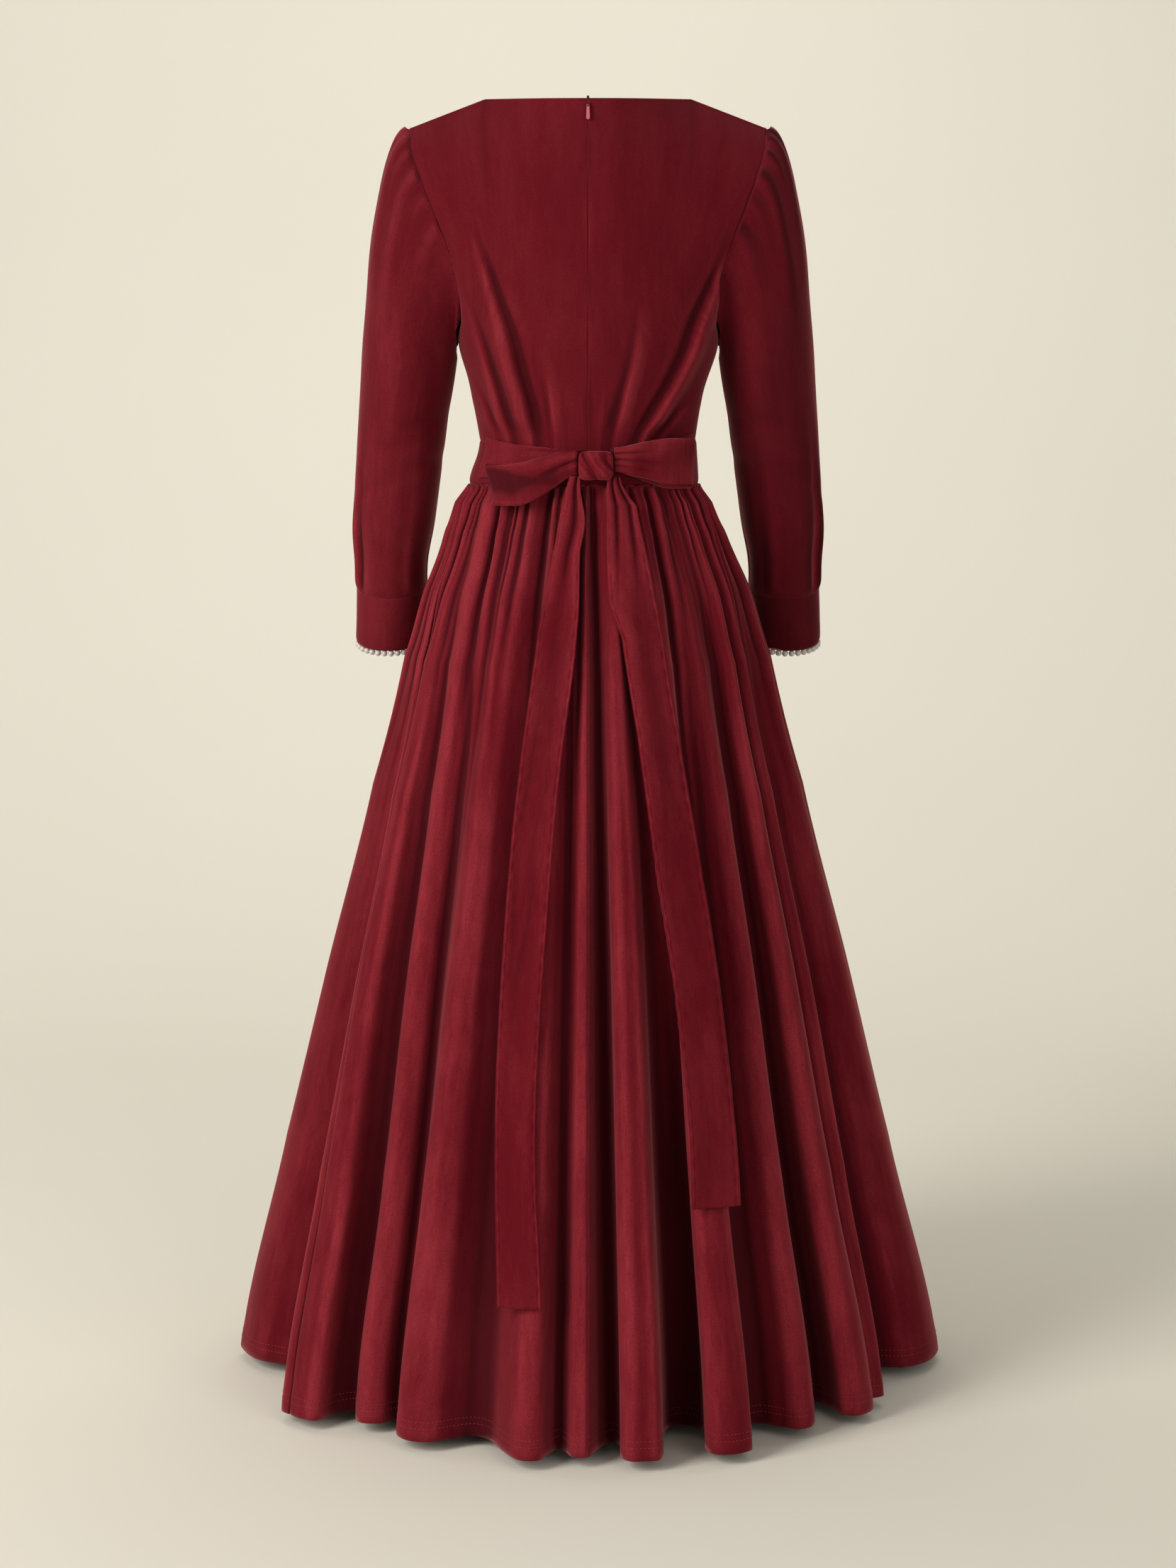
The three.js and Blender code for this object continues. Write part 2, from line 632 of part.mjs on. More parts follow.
// Bow loops: a ribbon that leaves the knot, turns at the far end and comes back over itself
const loopOff = STRAP_OFF + CLOTH + LIE_GAP + 0.1;
const underLoop = CLOTH + LIE_GAP + LOOP.skirtLift;
for (const loop of LOOPS) {
  const toRight = loop.far.topX > 0;
  const place = (u, v) => {
    const round = lerp(LOOP.ends, 1 - LOOP.ends, toRight ? 1 - u : u);
    const along = (Math.sin(Math.PI * round) ** LOOP.fullness - LOOP.pinch) / (1 - LOOP.pinch);
    const farX = lerp(loop.far.topX, loop.far.footX, v);
    const farZ = lerp(loop.far.topZ, loop.far.footZ, v);
    const x = lerp(loop.near.x, farX, along);
    const z = lerp(lerp(loop.near.top, loop.near.foot, v), farZ, along);
    const bandRest = -WAIST_FOOT.back * Math.sqrt(1 - (x / LOOP.bandRound) ** 2) - loopOff;
    const skirtSide = lookUp(SKIRT, "z", Math.min(z, SKIRT_TOP_Z), "side") + LOOP.skirtRound;
    const skirtBack = lookUp(SKIRT, "z", Math.min(z, SKIRT_TOP_Z), "back");
    const skirtRest = -skirtBack * Math.sqrt(1 - (x / skirtSide) ** 2) - underLoop;
    const rest = Math.min(bandRest, skirtRest) + loop.seat;
    const puff = LOOP.puff * (0.5 - 0.5 * Math.cos(Math.PI * round)) * (0.45 + 0.55 * along);
    return new THREE.Vector3(x, rest - puff, z);
  };
  makeWall(loop.name, place, evenStops(16), evenStops(2), -CLOTH / 2, CLOTH / 2, false, false, VELVET);
}

// Knot
const knotShape = new THREE.SphereGeometry(1, 14, 10);
knotShape.deleteAttribute("normal");
knotShape.deleteAttribute("uv");
const knot = addMesh("bow_knot", knotShape, VELVET, dress);
knot.scale.set(KNOT.halfWidth, KNOT.halfDepth, KNOT.halfHeight);
knot.position.set(KNOT.x, -(WAIST_FOOT.back + STRAP_OFF + CLOTH + LIE_GAP + KNOT.halfDepth), KNOT.z);

// Tails that lie on the tops of the skirt's folds
const tailOff = CLOTH + LIE_GAP;
const TAILS = [
  { name: "bow_tail_left", edges: LEFT_TAIL },
  { name: "bow_tail_right", edges: RIGHT_TAIL },
];
for (const tail of TAILS) {
  const last = tail.edges[tail.edges.length - 1].z;
  const stops = [...new Set([...tail.edges, ...SKIRT].map((row) => row.z))];
  const heights = stops.filter((z) => z <= tail.edges[0].z && z >= last).sort((a, b) => b - a);
  const place = (u, v) => {
    const row = Math.min(heights.length - 2, Math.floor(v));
    const z = lerp(heights[row], heights[row + 1], v - row);
    const x = lerp(lookUp(tail.edges, "z", z, "left"), lookUp(tail.edges, "z", z, "right"), u);
    const side = lookUp(SKIRT, "z", z, "side") + tailOff;
    const back = lookUp(SKIRT, "z", z, "back") + tailOff;
    return new THREE.Vector3(x, -back * Math.sqrt(1 - (x / side) ** 2), z);
  };
  const down = heights.map((unused, i) => i);
  makeWall(tail.name, place, evenStops(3), down, 0, CLOTH * 0.8, false, false, VELVET);
}

// Zip tape behind the centre back seam, from the neck to the foot of the waistband
const tapeHeights = [ZIP_TAPE.top, ...TORSO.slice(1).map((row) => row.z), SKIRT_TOP_Z + 1];
const zipTapePlace = (u, v) => {
  const row = Math.min(tapeHeights.length - 2, Math.floor(v));
  const z = lerp(tapeHeights[row], tapeHeights[row + 1], v - row);
  const back = lookUp(TORSO, "z", Math.max(z, WAIST_Z - WAIST_DIP), "back");
  return new THREE.Vector3(lerp(-ZIP_TAPE.half, ZIP_TAPE.half, u), ZIP_TAPE.inside - back, z);
};
const tapeRows = tapeHeights.map((unused, i) => i);
const halfTape = ZIP_TAPE.thick / 2;
makeWall("zip_tape", zipTapePlace, evenStops(2), tapeRows, -halfTape, halfTape, false, false, ZIP_DARK);

// Slider, top stop and pull tab, in a group that lies along the slope of the back at the neck
const backSlope = Math.atan2(TORSO[1].back - TORSO[0].back, TORSO[0].z - TORSO[1].z);
const zipHead = new THREE.Group();
zipHead.position.set(0, -(lookUp(TORSO, "z", -ZIP_HEIGHT, "back") + CLOTH / Math.cos(backSlope)), -ZIP_HEIGHT);
zipHead.rotation.x = -backSlope;
dress.add(zipHead);

function asSolid(shape) {
  const bare = shape.clone();
  bare.deleteAttribute("normal");
  bare.deleteAttribute("uv");
  const merged = mergeVertices(bare, 1e-4);
  const vertProperties = new Float32Array(merged.getAttribute("position").array);
  const triVerts = new Uint32Array(merged.getIndex().array);
  return new wasm.Manifold(new wasm.Mesh({ numProp: 3, vertProperties, triVerts }));
}

function asShape(solid) {
  const mesh = solid.getMesh();
  return new THREE.BufferGeometry()
    .setAttribute("position", new THREE.BufferAttribute(new Float32Array(mesh.vertProperties), 3))
    .setIndex(new THREE.BufferAttribute(new Uint32Array(mesh.triVerts), 1));
}

const plate = new THREE.BoxGeometry(SLIDER.width, SLIDER.thick, SLIDER.height);
plate.translate(0, -(LIE_GAP + SLIDER.thick / 2), 0);
const pivotOff = LIE_GAP + SLIDER.thick + BRIDGE.standOff;
const archShape = new THREE.Shape();
archShape.moveTo(-BRIDGE.standOff - 0.3, -BRIDGE.outer);
archShape.lineTo(0, -BRIDGE.outer);
archShape.absarc(0, 0, BRIDGE.outer, -Math.PI / 2, Math.PI / 2, false);
archShape.lineTo(-BRIDGE.standOff - 0.3, BRIDGE.outer);
archShape.lineTo(-BRIDGE.standOff - 0.3, BRIDGE.inner);
archShape.lineTo(0, BRIDGE.inner);
archShape.absarc(0, 0, BRIDGE.inner, Math.PI / 2, -Math.PI / 2, true);
archShape.lineTo(-BRIDGE.standOff - 0.3, -BRIDGE.inner);
archShape.closePath();
const arch = new THREE.ExtrudeGeometry(archShape, { depth: BRIDGE.width, bevelEnabled: false, curveSegments: 8 });
arch.translate(0, 0, -BRIDGE.width / 2);
arch.applyMatrix4(
  new THREE.Matrix4().makeBasis(new THREE.Vector3(0, -1, 0), new THREE.Vector3(0, 0, 1), new THREE.Vector3(-1, 0, 0)),
);
arch.translate(0, -pivotOff, 0);
addMesh("zip_slider", asShape(asSolid(plate).add(asSolid(arch))), ZIP_DARK, zipHead);

const stop = addMesh(
  "zip_top_stop",
  new THREE.BoxGeometry(TOP_STOP.width, TOP_STOP.thick, TOP_STOP.high - TOP_STOP.low),
  ZIP_DARK,
  zipHead,
);
stop.position.set(0, -(LIE_GAP + TOP_STOP.thick / 2), (TOP_STOP.low + TOP_STOP.high) / 2);

// The pull hangs from its cross bar, which lies inside the bridge
const pullShape = new THREE.Shape();
const widest = PULL.length - PULL.width;
pullShape.moveTo(-PULL.headWidth / 2, PULL.bar);
pullShape.lineTo(-PULL.headWidth / 2, -PULL.slot - 1);
pullShape.lineTo(-PULL.width / 2, -widest);
pullShape.absarc(0, -widest, PULL.width / 2, Math.PI, 2 * Math.PI, false);
pullShape.lineTo(PULL.headWidth / 2, -PULL.slot - 1);
pullShape.lineTo(PULL.headWidth / 2, PULL.bar);
pullShape.closePath();
const slot = new THREE.Path();
slot.moveTo(-PULL.slotWidth / 2, -PULL.bar);
slot.lineTo(PULL.slotWidth / 2, -PULL.bar);
slot.lineTo(PULL.slotWidth / 2, -PULL.slot);
slot.lineTo(-PULL.slotWidth / 2, -PULL.slot);
slot.closePath();
pullShape.holes.push(slot);
const pullSolid = new THREE.ExtrudeGeometry(pullShape, { depth: PULL.thick, bevelEnabled: false, curveSegments: 10 });
pullSolid.translate(0, 0, -PULL.thick / 2);
pullSolid.rotateX(Math.PI / 2);
const pull = addMesh("zip_pull", pullSolid, ZIP_PULL, zipHead);
pull.position.set(0, -pivotOff, 0);

export default dress;
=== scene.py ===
import math
import bmesh
import bpy
from mathutils import Matrix, Vector, noise


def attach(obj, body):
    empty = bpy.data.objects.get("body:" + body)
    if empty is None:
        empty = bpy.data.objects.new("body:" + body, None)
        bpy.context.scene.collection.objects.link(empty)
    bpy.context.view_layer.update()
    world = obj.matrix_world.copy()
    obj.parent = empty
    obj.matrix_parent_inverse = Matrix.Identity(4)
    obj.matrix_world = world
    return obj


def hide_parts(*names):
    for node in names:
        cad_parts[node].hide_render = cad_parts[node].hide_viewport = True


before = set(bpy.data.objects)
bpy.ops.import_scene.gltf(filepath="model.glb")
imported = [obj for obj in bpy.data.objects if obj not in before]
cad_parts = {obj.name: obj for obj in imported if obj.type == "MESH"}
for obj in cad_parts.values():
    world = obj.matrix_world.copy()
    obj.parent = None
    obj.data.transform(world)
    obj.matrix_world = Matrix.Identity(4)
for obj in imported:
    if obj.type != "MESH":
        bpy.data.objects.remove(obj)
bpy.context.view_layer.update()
scene = bpy.context.scene
MM = 0.001

# The camera stands behind the dress at the height of the waist and looks a little down,
# so the round hem shows its near half lower than its sides.
CAMERA_AWAY = 3.2
CAMERA_HEIGHT = -0.33
CAMERA_PITCH = 6.858
CAMERA_LENS = 68.84
camera_data = bpy.data.cameras.new("back_view")
camera_data.lens = CAMERA_LENS
camera_data.sensor_width = 36
camera = bpy.data.objects.new("back_view", camera_data)
camera.location = (0, -CAMERA_AWAY, CAMERA_HEIGHT)
camera.rotation_euler = (math.radians(90 - CAMERA_PITCH), 0, 0)
scene.collection.objects.link(camera)
scene.camera = camera


# Velvet: short dense pile in a deep wine red. It is dark where it is seen straight on, pink and bright
# where the pile is seen from its side, and it keeps faint marks where the nap was stroked. Its colour also
# carries painted highlight on ridges and painted shade in hollows, read from a value kept at each point.
class Wire:
    def __init__(self, tree, socket):
        self.tree = tree
        self.socket = socket

    def math(self, operation, other, swap=False):
        pair = (other, self) if swap else (self, other)
        return add_node(self.tree, "ShaderNodeMath", {"operation": operation}, {0: pair[0], 1: pair[1]})

    def __add__(self, other):
        return self.math("ADD", other)

    __radd__ = __add__

    def __mul__(self, other):
        return self.math("MULTIPLY", other)

    def __sub__(self, other):
        return self.math("SUBTRACT", other)

    def __rsub__(self, other):
        return self.math("SUBTRACT", other, True)


def add_node(tree, kind, settings, inputs, output=0):
    node = tree.nodes.new(kind)
    for key, value in settings.items():
        if key == "stops":
            for element, (place, shade) in zip(node.color_ramp.elements, value):
                element.position = place
                element.color = (*shade, 1)
        else:
            setattr(node, key, value)
    for key, value in inputs.items():
        if isinstance(value, Wire):
            tree.links.new(value.socket, node.inputs[key])
        else:
            node.inputs[key].default_value = value
    return Wire(tree, node.outputs[output])


def start_material(name):
    material = bpy.data.materials.new(name)
    material.use_nodes = True
    return material, material.node_tree, material.node_tree.nodes["Principled BSDF"]


def feed(tree, shader, **links):
    for key, wire in links.items():
        tree.links.new(wire.socket, shader.inputs[key.replace("_", " ")])


def mix_shades(tree, factor, first, second):
    settings = {"data_type": "RGBA"}
    return add_node(tree, "ShaderNodeMix", settings, {0: factor, 6: first, 7: second}, 2)


# A plain surface whose colour and roughness vary together by a fine noise
def mottled(name, scale, first, second, roughness, detail=2, rough=0.5):
    material, tree, shader = start_material(name)
    coords = add_node(tree, "ShaderNodeTexCoord", {}, {}, 3)
    speck = add_node(tree, "ShaderNodeTexNoise", {}, {0: coords, 2: scale, 3: detail, 4: rough})
    shades = mix_shades(tree, speck, (*first, 1), (*second, 1))
    feed(tree, shader, Base_Color=shades, Roughness=roughness[0] + speck * roughness[1])
    return material, tree, shader, speck


# Pile colours. The dark one gives both the dark flecks and the painted shade in hollows. The light one
# gives both the lighter nap and the painted highlight on ridges.
PILE_DARK = (0.040, 0.0010, 0.0032, 1)
PILE_MID = (0.110, 0.0028, 0.0078, 1)
PILE_NAP_AND_HIGHLIGHT = (0.250, 0.020, 0.030, 1)
SHEEN_PINK = (1.0, 0.30, 0.33, 1)
SHEEN_WEIGHT = 0.46
SHEEN_ROUGHNESS = 0.34
VELVET_SPECULAR = 0.10


def velvet(name, shade=1.0, streak=1.0):
    material, tree, shader = start_material(name)
    coords = add_node(tree, "ShaderNodeTexCoord", {}, {}, 3)
    cloth = add_node(tree, "ShaderNodeUVMap", {"uv_map": "cloth"}, {})

    def marks(across, down, detail, rough):
        way = add_node(tree, "ShaderNodeMapping", {}, {"Vector": cloth, "Scale": (across, down, 1)})
        settings = {"Vector": way, "Scale": 1.0, "Detail": detail, "Roughness": rough}
        return add_node(tree, "ShaderNodeTexNoise", {}, settings)

    def cloud(scale, detail):
        settings = {"Vector": coords, "Scale": scale, "Detail": detail}
        return add_node(tree, "ShaderNodeTexNoise", {}, settings)

    nap_streaks_and_painted_patches = marks(34, 5, 5, 0.62)
    fine = marks(150, 34, 4, 0.6)
    patches = cloud(7, 4)
    grain = cloud(1100, 2)
    stops = {"stops": [(0.42, (0, 0, 0)), (0.68, (1, 1, 1))]}
    worn = add_node(tree, "ShaderNodeValToRGB", stops, {0: nap_streaks_and_painted_patches * 0.42 + fine * 0.22 + patches * 0.36})
    nap = add_node(tree, "ShaderNodeSeparateColor", {}, {0: worn})
    piles = (PILE_DARK, PILE_MID, PILE_NAP_AND_HIGHLIGHT)
    tints = [tuple(part * shade for part in tint[:3]) + (1,) for tint in piles]
    # Painted highlight and shade: the per-point value is high on ridges and low in hollows. Its ridge share
    # mixes in the light pile colour as painted highlight, and its hollow share mixes in the dark one as
    # painted shade.
    stand = add_node(tree, "ShaderNodeAttribute", {"attribute_name": "painted_light_and_shade"}, {}, 2)
    ridge_highlight = add_node(tree, "ShaderNodeMapRange", {}, {0: stand, 1: 0.53, 2: 0.78, 3: 0.0, 4: 1.0})
    hollow_shade = add_node(tree, "ShaderNodeMapRange", {}, {0: stand, 1: 0.485, 2: 0.31, 3: 0.0, 4: 1.0})
    lit = nap * (0.5 * streak) + ridge_highlight * (0.35 + nap * 0.6)
    nap_and_highlight = add_node(tree, "ShaderNodeMath", {"operation": "MINIMUM"}, {0: lit, 1: 1.0})
    base = mix_shades(tree, nap_and_highlight, tints[1], tints[2])
    deep = mix_shades(tree, hollow_shade * 0.85, base, tints[0])
    flecked = mix_shades(tree, (grain - 0.40) * 1.5, deep, tints[0])
    lift = grain * 0.45 + fine * 0.35 + nap_streaks_and_painted_patches * 0.2
    bump = add_node(tree, "ShaderNodeBump", {}, {"Strength": 0.45, "Distance": 0.0011, "Height": lift})
    feed(tree, shader, Base_Color=flecked, Roughness=0.95 - nap * 0.12, Normal=bump)
    shader.inputs["Specular IOR Level"].default_value = VELVET_SPECULAR
    shader.inputs["Sheen Weight"].default_value = SHEEN_WEIGHT
    shader.inputs["Sheen Roughness"].default_value = SHEEN_ROUGHNESS
    shader.inputs["Sheen Tint"].default_value = SHEEN_PINK
    return material


# Copies of one velvet. The first number scales the colour as painted shade on the bodice and sleeves and as
# painted light on the sash. The second is the strength of the nap streaks.
skirt_velvet = velvet("skirt velvet")
bodice_velvet = velvet("bodice velvet", 0.97, 0.5)
sleeve_velvet = velvet("sleeve velvet", 0.94, 0.6)
sash_velvet = velvet("sash velvet", 1.02, 0.9)

CLOTH = 1.6
WALL = 2.0
# Reaches in mm over which a ridge counts for the painted highlight and shade, and how strongly
RIDGE_REACHES = ((5, 0.8), (13, 1.2))


def add_piece(name, bm, material):
    mesh = bpy.data.meshes.new(name)
    bm.to_mesh(mesh)
    bm.free()
    mesh.shade_smooth()
    mesh.materials.append(material)
    piece = bpy.data.objects.new(name, mesh)
    scene.collection.objects.link(piece)
    return piece


def finish_cloth(name, bm, material, thickness=CLOTH, closed=False):
    if closed:
        bmesh.ops.remove_doubles(bm, verts=bm.verts, dist=1e-6)
        bmesh.ops.recalc_face_normals(bm, faces=bm.faces)
    piece = add_piece(name, bm, material)
    wall = piece.modifiers.new("wall", "SOLIDIFY")
    wall.thickness = thickness * MM
    wall.offset = -1
    wall.use_rim = True
    return piece


# A length of cloth: a flat grid whose points are moved to their place. u runs to +X on the back and v runs
# down. The optional function gives how much lighter a place is painted as highlight, or darker as painted
# shade.
def cut_cloth(
    name, columns, rows, place, cloth_size, material, closed=False, flip=False, thickness=CLOTH, painted_light=None
):
    bm = bmesh.new()
    bmesh.ops.create_grid(bm, x_segments=columns, y_segments=rows, size=0.5)
    sheet = bm.loops.layers.uv.new("cloth")
    painted_light_and_shade = bm.verts.layers.float.new("painted_light_and_shade")
    places = {}
    for vert in bm.verts:
        column = round((vert.co.x + 0.5) * columns)
        row = round((0.5 - vert.co.y) * rows)
        places[column, row] = vert
    for face in bm.faces:
        for loop in face.loops:
            spot = loop.vert.co
            loop[sheet].uv = ((spot.x + 0.5) * cloth_size[0] * MM, (spot.y + 0.5) * cloth_size[1] * MM)
    for (column, row), vert in places.items():
        vert.co = Vector(place(column / columns, row / rows)) * MM
    # Painted highlight and shade: ridges are painted lighter and hollows darker, so each point keeps how
    # far it stands out from its neighbours across the cloth
    for (column, row), vert in places.items():
        under = places.get((column, row + 1)) or places[column, row - 1]
        down = (under.co - vert.co) if (column, row + 1) in places else (vert.co - under.co)
        total = 0
        for reach, share in RIDGE_REACHES:
            cells = max(1, round(reach * columns / cloth_size[0]))
            if closed:
                left = places[(column - cells) % columns, row]
                right = places[(column + cells) % columns, row]
            else:
                cells = min(cells, column, columns - column)
                if cells == 0:
                    continue
                left = places[column - cells, row]
                right = places[column + cells, row]
            chord = right.co - left.co
            normal = down.cross(chord).normalized()
            total += share * (vert.co - (left.co + right.co) / 2).dot(normal) / max(chord.length, 1e-6)
        # Patches of painted highlight and painted shade given for the piece are added on top
        painted_patches = painted_light(column / columns, row / rows) if painted_light else 0
        vert[painted_light_and_shade] = max(0, min(1, 0.5 + painted_patches + (-total if flip else total)))
    if flip:
        bmesh.ops.reverse_faces(bm, faces=bm.faces)
    return finish_cloth(name, bm, material, thickness, closed)


def lerp(first, second, share):
    return first + (second - first) * share


def ease(low, high, value):
    share = min(1, max(0, (value - low) / (high - low)))
    return share * share * (3 - 2 * share)


# A smooth bump of height 1, and a smooth wandering value for uneven cloth
def bell(away, width):
    return math.exp(-((away / width) ** 2))


def drift(x, y, z):
    return noise.noise(Vector((x, y, z)))


# Smooth curve through the rows of a table, by the place of a row or by the value of its key column
def curve_at(values, place):
    last = len(values) - 1
    row = min(last - 1, max(0, int(place)))
    share = place - row
    before = values[max(0, row - 1)]
    first = values[row]
    second = values[row + 1]
    after = values[min(last, row + 2)]
    slope_in = (second - before) / 2
    slope_out = (after - first) / 2
    square = share * share
    cube = square * share
    return (
        first * (2 * cube - 3 * square + 1)
        + slope_in * (cube - 2 * square + share)
        + second * (3 * square - 2 * cube)
        + slope_out * (cube - square)
    )


def row_place(keys, value):
    falling = keys[0] > keys[-1]
    for i in range(1, len(keys)):
        if (value >= keys[i]) if falling else (value <= keys[i]):
            break
    return i - 1 + (value - keys[i - 1]) / (keys[i] - keys[i - 1])


def columns_of(names, rows):
    return {name: [row[i] for row in rows] for i, name in enumerate(names)}


# Bodice: a plain back in two halves, joined by an invisible zip, and a plain front in one piece.
# The back is drawn in at the waist by soft tucks that are caught in the waist seam and open upward.
TORSO = columns_of(
    ("z", "back", "front"),
    [
        (0, 70, 60), (-60, 88, 74), (-150, 102, 100), (-230, 100, 118), (-290, 92, 110), (-359, 84, 96),
    ],
)
SIDE_EDGE = columns_of(
    ("z", "x", "back", "front", "sweep"),
    [
        (-25, 185, 3, 3, 46), (-52, 182, 26, 22, 48), (-88, 169, 46, 42, 54), (-120, 156, 56, 52, 60),
        (-155, 142, 58, 56, 64), (-190, 133, 50, 50, 70), (-222, 131, 30, 30, 80),
        (-247, 135, 0, 0, 90), (-295, 121, 0, 0, 90), (-345, 112, 0, 0, 90),
    ],
)
SIDE_ROWS = 9
UNDERARM_ROW = 7
NECK_CORNER = Vector((106, -20, 3))
SHOULDER_TIP = Vector((185, -3, -25))
BACK_NECK_Y = -70
FRONT_NECK = Vector((0, 76, -84))
NECK_SHARE = 0.58
WAIST_Z = -345
WAIST_DIP = 14
SEAM_GAP = 0.4

# Tucks of the back: the line from the waist up as (x, z), height, width to its open and shut sides
TUCKS = [
    {"line": [(-57, -349), (-64, -311), (-74, -275), (-83, -239), (-97, -199), (-111, -160), (-126, -114)],
     "high": 11, "left": 15, "right": 3.2, "hold": 0.25},
    {"line": [(-80, -349), (-90, -311), (-100, -278), (-114, -235), (-126, -199), (-140, -180)],
     "high": 8, "left": 10, "right": 3},
    {"line": [(-94, -349), (-103, -318), (-114, -296), (-124, -276)], "high": 5, "left": 7, "right": 3},
    {"line": [(-32, -355), (-38, -300), (-46, -262), (-52, -240)], "high": 4.5, "left": 3.2, "right": 9},
    {"line": [(28, -355), (40, -297), (50, -258), (57, -212), (63, -185)],
     "high": 5.5, "left": 3, "right": 11},
    {"line": [(56, -349), (70, -322), (88, -291), (104, -256), (114, -225), (133, -184), (150, -150),
              (162, -122)],
     "high": 12, "left": 4, "right": 10, "hold": 0.5},
    {"line": [(74, -349), (92, -322), (110, -300)], "high": 6, "left": 3.5, "right": 7},
    {"line": [(12, -357), (14, -318), (18, -290)], "high": 2.5, "left": 6, "right": 4},
]
FRONT_TUCKS = [
    {"line": [(x, -345), (x * 1.18, -300), (x * 1.34, -250), (x * 1.42, -200)],
     "high": high, "left": 9, "right": 9}
    for x, high in ((-74, 4.5), (-52, 6), (-28, 4), (26, 4.5), (55, 5.5), (78, 4))
]


TUCK_HEIGHT = 0.8
TUCK_SHARPNESS = 0.8
TUCK_SIDE_REACH = 24
TUCK_TROUGH = {"share": 0.22, "wide": 4.5, "away": 2.4}
# The sash presses the tucks flat between these heights
TUCK_PRESSED = (-320, -342)


def tuck_height(tucks, x, z):
    total = 0
    for tuck in tucks:
        line = tuck["line"]
        if z > line[-1][1]:
            continue
        place = row_place([point[1] for point in line][::-1], max(z, line[0][1]))
        middle = curve_at([point[0] for point in line][::-1], place)
        away = x - middle
        width = tuck["left"] if away < 0 else tuck["right"]
        if abs(away) > TUCK_SIDE_REACH + 3 * width:
            continue
        climb = (z - line[0][1]) / (line[-1][1] - line[0][1])
        spread = (1 + 0.7 * max(0, climb)) * (TUCK_SHARPNESS if width < 6 else 1)
        strength = TUCK_HEIGHT * tuck["high"] * (1 - ease(tuck.get("hold", 0.1), 1, climb)) ** 0.8
        strength *= 1 - 0.5 * ease(*TUCK_PRESSED, z)
        total += strength * bell(away / width, spread)
        steep_side = -1 if tuck["left"] < tuck["right"] else 1
        trough = away * steep_side - TUCK_TROUGH["away"] * min(tuck["left"], tuck["right"])
        total -= TUCK_TROUGH["share"] * strength * bell(trough, TUCK_TROUGH["wide"])
    return total


def top_edge(u, front):
    if u < NECK_SHARE:
        turn = u / NECK_SHARE * math.pi / 2
        if front:
            return Vector((
                NECK_CORNER.x * math.sin(turn),
                lerp(NECK_CORNER.y, FRONT_NECK.y, math.cos(turn)),
                lerp(NECK_CORNER.z, FRONT_NECK.z, math.cos(turn) ** 1.3),
            ))
        return Vector((
            NECK_CORNER.x * u / NECK_SHARE,
            lerp(NECK_CORNER.y, BACK_NECK_Y, math.cos(turn)),
            NECK_CORNER.z * (u / NECK_SHARE) ** 2,
        ))
    along = (u - NECK_SHARE) / (1 - NECK_SHARE)
    return NECK_CORNER.lerp(SHOULDER_TIP, along)


def bodice_row(u, v, front):
    place = v * SIDE_ROWS
    sweep = math.radians(curve_at(SIDE_EDGE["sweep"], place))
    edge_z = curve_at(SIDE_EDGE["z"], place)
    edge_y = curve_at(SIDE_EDGE["front" if front else "back"], place)
    top_z = FRONT_NECK.z if front else 0
    share = (edge_z - SHOULDER_TIP.z) / (WAIST_Z - SHOULDER_TIP.z)
    centre_z = lerp(top_z, WAIST_Z - WAIST_DIP, share)
    centre_y = curve_at(TORSO["front" if front else "back"], row_place(TORSO["z"], centre_z))
    bow = (1 - math.cos(u * sweep)) / (1 - math.cos(sweep))
    sign = 1 if front else -1
    return Vector((
        curve_at(SIDE_EDGE["x"], place) * math.sin(u * sweep) / math.sin(sweep),
        sign * (lerp(centre_y, edge_y, bow) + SEAM_GAP / 2),
        lerp(centre_z, edge_z, bow),
    ))


def bodice_form(u, v, front):
    point = bodice_row(u, v, front)
    fade = max(0, 1 - v * 1.6) ** 2
    if fade > 0:
        cut = top_edge(abs(u), front)
        cut.y += (1 if front else -1) * SEAM_GAP / 2
        if u < 0:
            cut.x = -cut.x
        point += (cut - bodice_row(u, 0, front)) * fade
    return point


# A point of a form moved out along the form's own normal, found from its neighbours
def moved_out(form, u, v, distance, outward):
    step = 0.004
    low_u, high_u = u - step, u + step
    low_v, high_v = max(0, v - step), min(1, v + step)
    along = form(high_u, v) - form(low_u, v)
    down = form(u, high_v) - form(u, low_v)
    normal = along.cross(down).normalized()
    if normal.dot(outward) < 0:
        normal.negate()
    return form(u, v) + normal * distance


BODICE_GRID = 132
SEAM_SINK = 0.06
SEAM_WIDE = 1.1
for side, sign in (("left", -1), ("right", 1)):

    def half_form(u, v, sign=sign):
        share = min(1, max(0, u if sign > 0 else 1 - u))
        point = bodice_form(share, v, False)
        point.x = sign * (point.x + (1 - share) * 0.01)
        return point

    def half_place(u, v, sign=sign, form=half_form):
        bare = form(u, v)
        share = u if sign > 0 else 1 - u
        rise = tuck_height(TUCKS, bare.x, bare.z) * ease(1.0, 0.95, share) * ease(0.02, 0.12, v)
        rise *= 1 - 0.45 * ease(0.93, 1, v)
        ripple = drift(bare.x * 0.022, bare.z * 0.011, 3.1) * 2.2 * ease(0.05, 0.25, v)
        near_seam = bell(share * 185, SEAM_WIDE)
        lip = 0.5 * bell(v * 345, 3)
        away = WALL + rise + ripple * (1 - near_seam) - SEAM_SINK * near_seam + lip
        return moved_out(form, u, v, away, Vector((bare.x * 0.4, -100, 0)))

    rows = int(BODICE_GRID * 1.6)
    piece = cut_cloth("velvet_back_" + side, BODICE_GRID, rows, half_place, (185, 350), bodice_velvet)
    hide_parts("bodice_back_" + side)
    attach(piece, "dress")


def front_form(u, v):
    return bodice_form(max(-1, min(1, 1 - 2 * u)), v, True)


